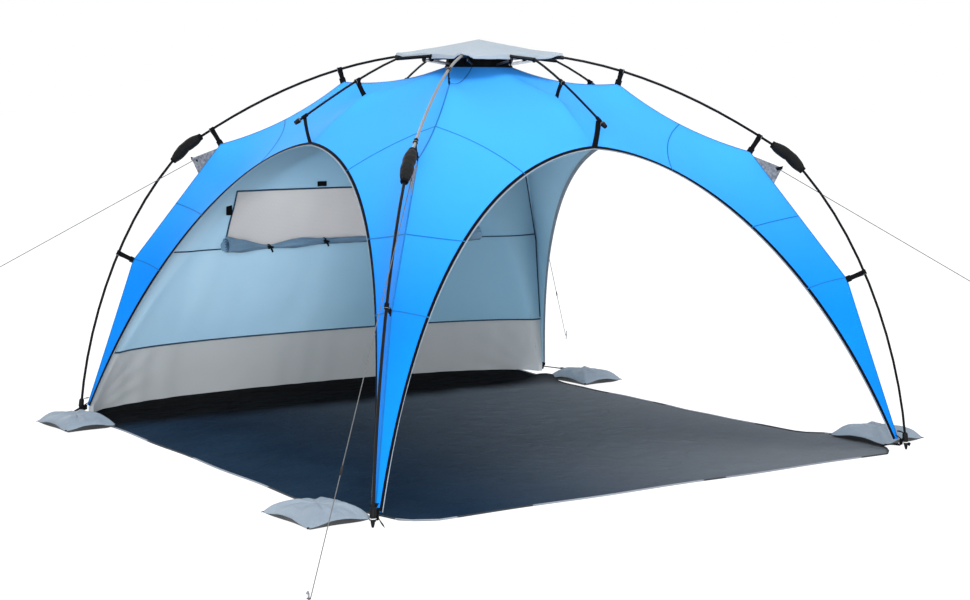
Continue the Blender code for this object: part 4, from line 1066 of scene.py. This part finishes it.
def wall_relief(x, height):
    """Soft upright folds that fade out toward the wall's edges."""
    inside = arch_half(height) - abs(x)
    held = min(inside / 0.12, (height - BAND_TOP) / 0.1, (WALL_TOP - height) / 0.1, 1.0)
    folds = math.sin(x * 17 + 2.2 * math.sin(x * 5)) * 0.0030 + math.sin(x * 41 + 1) * 0.0010
    soft = crease((x, height * 0.4, 3.0), 0.20, 0.005)
    return (folds + soft) * max(held, 0.0)


def wall_at(x, height, out=0.0):
    """The wall cloth: free in the doorway, and against the leg's lining beyond its edge."""
    inside = arch_half(height) - abs(x)
    gap = WALL_GAP * (1 - min(max(inside / 0.08, 0.0), 1.0))
    point = wall_point(x, height, wall_relief(x, height) - gap + out)
    return laid_on(x, height, point, gap - out) if inside < 0 else point


EDGE_COLUMNS, WINDOW_COLUMNS = 14, 44
WALL_COLUMNS = 2 * EDGE_COLUMNS + WINDOW_COLUMNS
WALL_ROWS = ((BAND_TOP, WINDOW_BOTTOM, 26), (WINDOW_BOTTOM, WINDOW_TOP, 14), (WINDOW_TOP, WALL_TOP, 18))
WALL_HEIGHTS = [
    low + (high - low) * k / count
    for low, high, count in WALL_ROWS
    for k in range(count)
] + [WALL_TOP]


def wall_x(column, height):
    half, inner = wall_half(height), window_half(height)
    if column < EDGE_COLUMNS:
        return -half + (half - inner) * column / EDGE_COLUMNS
    if column > WALL_COLUMNS - EDGE_COLUMNS:
        return half - (half - inner) * (WALL_COLUMNS - column) / EDGE_COLUMNS
    return -inner + 2 * inner * (column - EDGE_COLUMNS) / WINDOW_COLUMNS


def wall_place(a, b):
    height = WALL_HEIGHTS[round(b * (len(WALL_HEIGHTS) - 1))]
    return wall_at(wall_x(round(a * WALL_COLUMNS), height), height)


wall = surface(WALL_COLUMNS, len(WALL_HEIGHTS) - 1, wall_place, 1.9, 1.0)
opening = []
for face in wall.faces:
    middle = face.calc_center_median()
    if WINDOW_BOTTOM < middle.z < WINDOW_TOP and abs(middle.x) < window_half(middle.z) - 0.001:
        opening.append(face)
bmesh.ops.delete(wall, geom=opening, context="FACES")
size = area_of(wall)
wall = piece("wall_cloth", thicken(wall, CLOTH), WALL)
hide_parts("back_wall")


def band_place(a, b):
    height = 0.0016 + (BAND_TOP + 0.0014) * b
    edge = arch_half(height)
    x = (2 * a - 1) * (edge + overlap(height) - 0.0006)
    inside = edge - abs(x)
    fade = min(max(inside, 0.0) / 0.05, 1.0) * min(1.0, (1 - b) * 6)
    folds = math.sin(x * 31 + 3 * math.sin(x * 7) + b * 2) * 0.004 * (1 - 0.5 * b)
    radial = math.sin(26 * math.atan2(height + 0.05, 1.22 - abs(x))) * 0.0035
    corner_share = max(0.0, 1 - (1.2 - abs(x)) / 0.45)
    gap = (WALL_GAP - 0.0012) * (1 - min(max(inside / 0.08, 0.0), 1.0)) - 0.0012
    point = wall_point(x, height, (folds + radial * corner_share) * fade - gap)
    return laid_on(x, height, point, gap) if inside < 0 else point


band = surface(110, 14, band_place, 2.6, 0.27)
size = area_of(band)
band = piece("wall_band_cloth", thicken(band, CLOTH), BAND)
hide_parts("wall_band")


def window_place(a, b):
    height = WINDOW_BOTTOM - 0.006 + (WINDOW_TOP - WINDOW_BOTTOM + 0.012) * b
    x = (2 * a - 1) * (window_half(height) + 0.005)
    slack = math.sin(math.pi * a) * math.sin(math.pi * b)
    return wall_at(x, height, 0.0028 + crease((x, height, 1.0), 0.12, 0.002) * slack)


netting = surface(40, 12, window_place, 1.15, 0.26)
size = area_of(netting)
netting = piece("window_netting", thicken(netting, 0.0007), MESH)
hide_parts("window_mesh")

# Dark piping round the window, along the wall's level seams and down its sides
def wall_line(points, radius):
    return tube([wall_at(x, z, -PIPING_OUT) for x, z in points], radius, 8, 0.8)


def wall_level(height, half, steps, radius):
    return wall_line([(x, height) for x in spread(-half, half, steps)], radius)


lines = [wall_level(WINDOW_TOP, window_half(WINDOW_TOP), 70, PIPING_RADIUS)]
for sign in (-1, 1):
    lines.append(wall_line([
        (sign * window_half(z), z) for z in spread(WINDOW_BOTTOM, WINDOW_TOP, 16)
    ], PIPING_RADIUS * 0.8))
for height, radius in ((WINDOW_BOTTOM - 0.005, 0.0036), (BAND_TOP + 0.002, 0.0044)):
    lines.append(wall_level(height, wall_half(height) - SIDE_SEAM_IN, 90, radius))
for sign in (-1, 1):
    lines.append(wall_line([
        (sign * (wall_half(z) - SIDE_SEAM_IN), z) for z in spread(BAND_TOP + 0.012, 1.10, 60)
    ], 0.0030))
piping = piece("wall_piping", merged(lines), WALL_SEAM)

# The rolled-up window flap, full at its open ends and drawn in by its ties
ROLL_PLACES = (0.0, 0.126, 0.270, 0.408, 0.560, 0.650)
roll_size_at = knots((0.0135, 0.0105, 0.0215, 0.0060, 0.0265, 0.0325), ROLL_PLACES)
roll_height_at = knots((0.709, 0.709, 0.705, 0.694, 0.707, 0.717), ROLL_PLACES)


def softened(value_at, x):
    """A line of straight parts with its corners rounded off, over 30 mm to each side."""
    return sum(value_at(abs(x + 0.010 * k)) for k in range(-3, 4)) / 7


ROLL_XS = spread(-ROLL_HALF, ROLL_HALF, ROLL_STEPS)
roll_line = [
    wall_at(x, softened(roll_height_at, x), -1.22 * softened(roll_size_at, x) - 0.004)
    for x in ROLL_XS
]


def roll_radius(a, b):
    x = ROLL_XS[round(b * ROLL_STEPS)]
    turn = 2 * math.pi * a
    folds = 0.11 * math.sin(3 * turn + 14 * x) + 0.07 * math.sin(8 * turn - 31 * x + 1)
    return softened(roll_size_at, x) * (1 + folds)


roll = piece("window_flap_roll", tube(roll_line, roll_radius, 28), ROLL)
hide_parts("window_roll")
ties = []
for x in ROLL_TIES:
    middle = roll_line[round((x + ROLL_HALF) / (2 * ROLL_HALF) * ROLL_STEPS)]
    loop = []
    size = softened(roll_size_at, x) * 1.02
    for k in range(25):
        t = 2 * math.pi * k / 24
        loop.append(middle + Vector((0.002 * math.sin(3 * t), math.cos(t) * size, math.sin(t) * size)))
    ties.append(tube(loop, 0.0032, 8, 1.5))
    front = middle - Vector((0, size + 0.003, 0))
    ties.append(tab(front + Vector((-0.012, 0, 0.002)), front + Vector((0.016, -0.002, -0.004)), 0.009,
                    across=Vector((0.2, 0, 0.98))))
    ties.append(tab(front, front + Vector((0.012, -0.003, -0.024)), 0.008,
                    across=Vector((0.89, 0, 0.45))))
ties = piece("window_flap_ties", merged(ties), STRAP)
spiral = []
for k in range(44):
    t = 2 * math.pi * k / 16
    r = 0.003 + 0.0265 * k / 43
    spiral.append(roll_line[0] + Vector((-0.0006, math.cos(t) * r, math.sin(t) * r)))
spiral = piece("window_flap_spiral", tube(spiral, 0.0019, 6), WALL_SEAM)

# Toggle tabs that hold the flap when it is up
shapes = [
    block((wide, 0.0040, high), 0.0012, Matrix.Translation(wall_at(x, z, -0.0075)))
    for x, z, wide, high in TOGGLES
]
tabs = piece("window_toggle_tabs", merged(shapes), STRAP)
for obj in (wall, band, netting, piping, roll, ties, spiral, tabs):
    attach(obj, ROOT)
    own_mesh(obj)


# Groundsheet
def floor_edges(b):
    """The left and right ends of the groundsheet at a fraction of its depth."""
    y = FLOOR_FRONT + (FLOOR_BACK - FLOOR_FRONT) * b
    left, right = (knots([x for _, x in side], [p for p, _ in side])(y)
                   for side in (FLOOR_LEFT, FLOOR_RIGHT))
    wave = 0.006 * math.sin(y * 9) + 0.003 * math.sin(y * 23 + 1)
    return left + 0.004 * math.sin(y * 11), right + wave


def floor_place(a, b):
    left, right = floor_edges(b)
    x = left + (right - left) * a
    back = base_y(x) + 0.014
    y = FLOOR_FRONT + (back - FLOOR_FRONT) * b
    y += 0.004 * math.sin(x * 9 + 1) * (1 - b)
    fine = crease((x * 0.9, y, 0), 0.070, 0.0030) + crease((x, y * 0.7, 5), 0.26, 0.0034)
    ridges = 0.0028 * abs(math.sin(x * 7 + 2 * math.sin(y * 3))) ** 6
    ridges += 0.0024 * abs(math.sin(x * 3 - y * 11 + 1.5 * math.sin(x * 6))) ** 8
    edge = min(a, 1 - a, b, 1 - b) * 20
    heap = 0.030 * math.exp(-(((x - 1.02) / 0.10) ** 2) - ((y - 0.93) / 0.05) ** 2)
    flat = 0.0008 + 0.0036 * min(edge, 1.0)
    return Vector((x, y, flat + (fine + ridges) * min(edge, 1.0) * (1 if y < 1.0 else 0.4) + heap))


floor = surface(130, 140, floor_place, 2.3, 2.5)
for v in floor.verts:
    v.co.z = max(v.co.z, FLOOR_THICKNESS / 2 + 0.0001)
size = area_of(floor)
floor = piece("groundsheet_cloth", thicken(floor, FLOOR_THICKNESS), FLOOR, ROOT, angle=60)
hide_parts("groundsheet")
outline = [floor_place(0.0, b) for b in spread(1.0, 0.0, 60)]
outline += [floor_place(a, 0.0) for a in spread(0.0, 1.0, 60)[1:]]
outline += [floor_place(1.0, b) for b in spread(0.0, 1.0, 60)[1:]]
outline = [Vector((p.x, p.y, 0.0032)) for p in outline]
binding = tube(outline, 0.0045, 8, 0.55)
# Grey and dark stretches follow each other along the binding, as in the photograph
for face in binding.faces:
    at = face.calc_center_median()
    if noise.noise(Vector((at.x * 3.1, at.y * 3.1, 4.0))) > 0.06:
        face.material_index = 1
piece("groundsheet_binding", binding, [FLOOR_EDGE, POCKET_SHADE_AND_DARK_BINDING], ROOT)


# Sand pockets: flat pillows of two sewn halves with pointed corners, strapped to the feet
for corner, (at_x, at_y, wide, long, lean) in POCKETS.items():
    middle = Vector((at_x, at_y, 0))
    seed = Vector((at_x * 3, at_y * 5, 0))
    tilt = Matrix.Rotation(math.radians(lean), 3, "Z")

    def pocket_rim(turn):
        c, s = math.cos(turn), math.sin(turn)
        drawn = 1 - 0.032 * math.cos(2 * turn) ** 2
        flat = Vector((c * wide / 2, s * long / 2, 0)) * drawn / max(abs(c), abs(s))
        return middle + tilt @ flat

    def rim_height(turn):
        return POCKET_SEAM * (1 - 0.45 * abs(math.sin(2 * turn)) ** 4)

    def pocket_place(a, b):
        turn = 2 * math.pi * a
        share = 2 * b if b < 0.5 else 2 - 2 * b
        rim = pocket_rim(turn)
        if b < 0.5:
            place = middle.lerp(rim, share)
            height = rim_height(turn) * max((share - 0.74) / 0.26, 0.0) ** 1.3
            return Vector((place.x, place.y, height))
        share = 1 - (1 - share) ** 1.25
        place = middle.lerp(rim, share)
        toward_tip = abs(math.sin(2 * turn))
        full = max(1 - share**3.6, 0.0) ** 0.72 * (1 - 0.34 * toward_tip**4 * share**2)
        fold = 0.0075 * toward_tip**18 * math.sin(math.pi * share)
        pulls = 0.0022 * math.sin(11 * turn + 2 * math.sin(3 * turn)) * share * (1 - share) * 4
        relief = (crease(place + seed, 0.085, 0.0050) + pulls + fold) * min(full * 2, 1.0)
        low = rim_height(turn)
        height = low + (POCKET_HEIGHT - low) * full + relief
        return Vector((place.x, place.y, max(height, 0.004)))

    bag = cleaned(surface(96, 44, pocket_place, 1.0, 0.5))
    # Faces that look down take the dark cloth: painted shade under the pocket
    for face in bag.faces:
        if face.normal.z < -0.05:
            face.material_index = 1
    bag = piece(f"sand_pocket_cloth_{corner}", bag, [POCKET, POCKET_SHADE_AND_DARK_BINDING], ROOT, angle=70)
    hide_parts(f"sand_pocket_{corner}")
    shapes = []
    low = Vector((0, 0, rim_height(math.pi / 4)))
    tips = [pocket_rim(math.pi / 4 + k * math.pi / 2) for k in range(4)]
    for tip in tips:
        way = (tip - middle).normalized()
        shapes.append(tab(tip - way * 0.010 + low, tip + way * 0.005 + low, 0.007,
                          across=Vector((-way.y, way.x, 0))))
    foot_side = Vector((math.copysign(POCKET_HOOK, at_x), math.copysign(POCKET_HOOK, at_y), 0.020))
    hook = min(tips, key=lambda p: (p - foot_side).length) + low
    link = (foot_side - hook).normalized()
    side = Vector((-link.y, link.x, 0)).normalized()
    shapes.append(tab(hook - link * 0.008, foot_side - link * 0.010, 0.018, across=side))
    buckle = hook.lerp(foot_side, 0.55)
    shapes.append(tab(buckle - link * 0.014 + Vector((0, 0, 0.003)),
                      buckle + link * 0.014 + Vector((0, 0, 0.003)), 0.026, across=side))
    piece(f"sand_pocket_straps_{corner}", merged(shapes), STRAP, ROOT)


# Rain cap
def cap_place(a, part):
    """The cap: four falls from the peak to its corners, then a short edge that hangs down."""
    turn = 2 * math.pi * a
    away = (turn + math.pi / 4) % (math.pi / 2) - math.pi / 4
    flat = CAP_REACH * HALF / math.cos(away)
    out = min(part / CAP_EDGE_AT, 1.0)
    reach = (flat - 0.014 * math.cos(2 * away)) * out
    sag = 0.006 * math.cos(2 * away) * part**2
    height = CAP_LOW + CAP_PEAK * (1 - out) ** 1.22 - sag
    if part > CAP_EDGE_AT:
        hang_share = (part - CAP_EDGE_AT) / (1 - CAP_EDGE_AT)
        height -= 0.016 * hang_share * (0.45 + 0.55 * math.cos(2 * away) ** 2)
        reach += 0.002 * hang_share
    for corner, depth in CAP_DRAPE.items():
        off = abs((math.degrees(turn) - CORNERS[corner] + 180) % 360 - 180)
        height -= depth * eased(off, 2.0, 8.0) * (1 - eased(off, 12.0, 40.0)) * part**3
    x, y = reach * math.cos(turn), reach * math.sin(turn)
    ripple = 0.0022 * math.sin(9 * turn + 1) * part**2 + crease((x, y, 9), 0.09, 0.0025) * part
    return Vector((x, y, height + ripple))


cap = cleaned(surface(96, 32, cap_place, 1.0, 0.34))
size = area_of(cap)
cap = piece("rain_cap_cloth", thicken(cap, CLOTH), CAP, ROOT, angle=60)
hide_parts("rain_cap")
rim = [cap_place(k / 96, 1.0) for k in range(96)]
rim.append(rim[0])
piece("rain_cap_hem", tube(rim, 0.0018, 6), CAP, ROOT)


# Elbow sleeves: padded covers, drawn in at the middle and gathered at both ends
SLEEVE_HALF = 0.078
CUFF_AT = SLEEVE_HALF - 0.004
arm_length = lengths_of(ARM_LINE)[-1]
leg_length = lengths_of(LEG_LINE)[-1]
sleeve_line = [
    at_length(ARM_LINE, 1 + s / arm_length) if s < 0 else at_length(LEG_LINE, s / leg_length)
    for s in ((k / 40 - 0.5) * 2 * SLEEVE_HALF for k in range(41))
]


def sleeve_radius(a, b):
    u = abs(2 * b - 1)
    lobes = 0.0232 * (1 - 0.09 * math.exp(-((u / 0.14) ** 2))) * (1 - 0.50 * u**3.2)
    ripple = 0.012 * math.sin(21 * b + 2 * math.sin(2 * math.pi * a))
    gathers = 0.070 * math.sin(14 * math.pi * a + 5 * b) * u**2
    return lobes * (1 + ripple + gathers)


for corner, angle in CORNERS.items():
    sleeve = piece(f"elbow_cover_{corner}", tube(sleeve_line, sleeve_radius, 28), SLEEVE,
                   turn=angle, angle=80)
    bend(sleeve, corner, f"arm_{corner}", f"leg_{corner}",
         (ELBOW - slope(-39, 0.05), ELBOW + slope(-39, 0.05)))
    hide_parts(f"elbow_sleeve_{corner}")
    for name, source, body, spot in (
        ("upper", ARM_LINE, f"arm_{corner}", 1 - CUFF_AT / arm_length),
        ("lower", LEG_LINE, f"leg_{corner}", CUFF_AT / leg_length),
    ):
        middle = at_length(source, spot)
        ahead = (at_length(source, min(spot + 0.01, 1.0)) - middle).normalized()
        cuff = tube([middle + ahead * step for step in (-0.007, -0.004, 0.004, 0.007)],
                    lambda a, b: 0.0145 if 0 < b < 1 else 0.0130, 20)
        piece(f"elbow_cuff_{name}_{corner}", cuff, STRAP, body, angle)


# Hub: the canopy's collar ring with its short straps, bolts on the crown
ring = ring_points(Vector((0, 0, COLLAR.z)), Vector((COLLAR.x, 0, 0)), Vector((0, COLLAR.x, 0)), 96)
piece("collar_binding", tube(ring, 0.0050, 8, 1.2), TAPE, ROOT)


def skirt_place(a, b):
    """The black skirt between the collar and the arms' sockets, pleated a little."""
    t = 2 * math.pi * a
    reach = COLLAR.x - 0.006 - 0.008 * b + 0.0016 * math.sin(24 * t)
    return Vector((math.cos(t) * reach, math.sin(t) * reach, COLLAR.z + 0.036 * b))


skirt = surface(192, 4, skirt_place, 0.8, 0.04)
bmesh.ops.remove_doubles(skirt, verts=skirt.verts, dist=1e-5)
piece("collar_skirt", thicken(skirt, 0.0012), STRAP, ROOT)
shapes = []
for k in range(8):
    across = spun(Vector((0, 1, 0)), 45 * k + 22.5)
    top = spun(Vector((0.112, 0, 1.512)), 45 * k + 22.5)
    low = spun(Vector((COLLAR.x + 0.002, 0, COLLAR.z - 0.004)), 45 * k + 22.5)
    shapes.append(tab(top, low, 0.034, across=across, narrow=0.85))
    middle = spun(Vector((COLLAR.x, 0, COLLAR.z + 0.012)), 45 * k)
    loop = ring_points(middle, spun(Vector((0, 0.013, 0)), 45 * k), Vector((0, 0, 0.009)), 16)
    shapes.append(tube(loop, 0.0022, 6))
piece("collar_straps", merged(shapes), STRAP, ROOT)
shapes = []
for k in range(8):
    bolt = bmesh.new()
    bmesh.ops.create_cone(bolt, cap_ends=True, segments=12, radius1=0.0042, radius2=0.0036,
                          depth=0.003)
    at = spun(Vector((0.046, 0, 1.5425)), 45 * k + 22.5)
    bmesh.ops.translate(bolt, vec=at, verts=bolt.verts)
    shapes.append(bolt)
piece("hub_bolts", merged(shapes), STEEL, ROOT)


# Feet and their webbing
down = slope(LEG_SLOPES[1], 1.0)
foot_line = [FOOT_TOP + down * (0.044 * k / 16 - 0.024) for k in range(25)]
foot_size = knots((0.0076, 0.0104, 0.0112, 0.0084, 0.0088, 0.0046, 0.0030),
                  (0.0, 0.06, 0.45, 0.56, 0.62, 0.94, 1.0))
ring_line = ring_points(FOOT_TOP + down * 0.013, Vector((0.0098, 0, 0)), Vector((0, 0.0098, 0)))
foot_at = FOOT_TOP + Vector((-0.004, 0, 0.012))
buckle_at = Matrix.Translation(FOOT_TOP + Vector((-0.016, 0, -0.012)))
for corner, angle in CORNERS.items():
    foot = piece(f"foot_tip_{corner}", tube(foot_line, lambda a, b: foot_size(b), 24), RUBBER,
                 f"leg_{corner}", angle)
    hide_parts(f"foot_{corner}")
    piece(f"foot_ring_{corner}", tube(ring_line, 0.0015, 8), FOOT_RING, f"leg_{corner}",
          angle)
    # The canopy's tip is strapped to the foot, with a small buckle and the strap's loose tail
    shapes = [
        tab(TIP + Vector((-0.004, 0, 0.030)), foot_at + Vector((-0.004, 0, 0.010)), 0.022),
        tab(TIP + Vector((-0.010, 0.004, 0.014)), foot_at + Vector((-0.006, 0.004, -0.022)), 0.022),
        tab(FOOT_TOP + Vector((-0.014, 0.012, -0.006)), FOOT_TOP + Vector((0.020, 0.040, -0.030)), 0.014,
            across=Vector((0.3, -0.3, 0.9))),
        block((0.012, 0.030, 0.020), 0.003, buckle_at),
    ]
    piece(f"foot_strap_{corner}", merged(shapes), STRAP, f"leg_{corner}", angle)


# Finishes of the construction that shows
for name, node in NODES.items():
    # The front arm pole takes the painted highlight
    if name == "arm_pole_front_left":
        finish = POLE_PAINTED_HIGHLIGHT
    elif name.startswith(("arm_pole", "leg_pole", "side_arm", "hub_spindle")):
        finish = POLE
    elif name.startswith(("hub_", "arm_socket")):
        finish = HUB
    elif name.startswith("foot"):
        finish = RUBBER
    else:
        finish = STEEL
    node.data.materials.clear()
    node.data.materials.append(finish)


# Studio
def seen_in(tree):
    """1 for rays from the camera, off a gloss or through a clear piece, 0 for rays that light."""
    rays = add(tree, "LightPath").outputs
    seen = rays["Is Camera Ray"]
    for kind in ("Is Glossy Ray", "Is Transmission Ray"):
        seen = add(tree, "Math", {0: seen, 1: rays[kind]}, operation="MAXIMUM").outputs["Value"]
    return seen


ground = bmesh.new()
bmesh.ops.create_grid(ground, x_segments=1, y_segments=1, size=60.0)
bmesh.ops.translate(ground, vec=(0, 0, -0.0006), verts=ground.verts)
paper, tree, shader = new_material("studio_floor_paper")
shader.inputs["Base Color"].default_value = linear("#f4f4f4")
shader.inputs["Roughness"].default_value = 0.9
shader.inputs["Specular IOR Level"].default_value = 0.0
white = add(tree, "Emission", values={"Color": (1, 1, 1, 1), "Strength": 1.16})
share = add(tree, "Math", {0: seen_in(tree)}, {1: 0.82}, operation="MULTIPLY")
mixed = add(tree, "MixShader", {0: share.outputs["Value"], 1: shader.outputs["BSDF"],
                                2: white.outputs["Emission"]})
surface_from(tree, mixed.outputs["Shader"])
studio_floor = piece("studio_floor", ground, paper, smooth=False)

world = bpy.data.worlds.new("studio")
bpy.context.scene.world = world
world.use_nodes = True
tree = world.node_tree
tree.nodes.clear()
soft = add(tree, "Background", values={"Color": linear("#f2f6ff"), "Strength": 0.85})
clear = add(tree, "Background", values={"Color": (1, 1, 1, 1), "Strength": 1.0})
mixed = add(tree, "MixShader", {0: seen_in(tree), 1: soft.outputs["Background"],
                                2: clear.outputs["Background"]})
add(tree, "OutputWorld", {"Surface": mixed.outputs["Shader"]})


def lamp(name, at, toward, size, power):
    light = bpy.data.lights.new(name, "AREA")
    light.shape = "DISK"
    light.size = size
    light.energy = power
    obj = bpy.data.objects.new(name, light)
    bpy.context.scene.collection.objects.link(obj)
    obj.location = at
    way = Vector(toward) - Vector(at)
    obj.rotation_euler = way.to_track_quat("-Z", "Y").to_euler()


lamp("key_softbox", (-5.4, -7.6, 1.9), (0, 0.4, 0.6), 3.4, 720)
lamp("fill_softbox", (5.0, -5.5, 3.0), (0, 0, 0.8), 4.0, 100)
lamp("top_softbox", (-0.6, -1.0, 6.6), (0, 0, 0.8), 4.0, 240)
lamp("back_softbox", (-0.8, 6.4, 2.6), (0, 1.2, 0.5), 4.0, 130)

bpy.context.scene.view_settings.view_transform = "Standard"
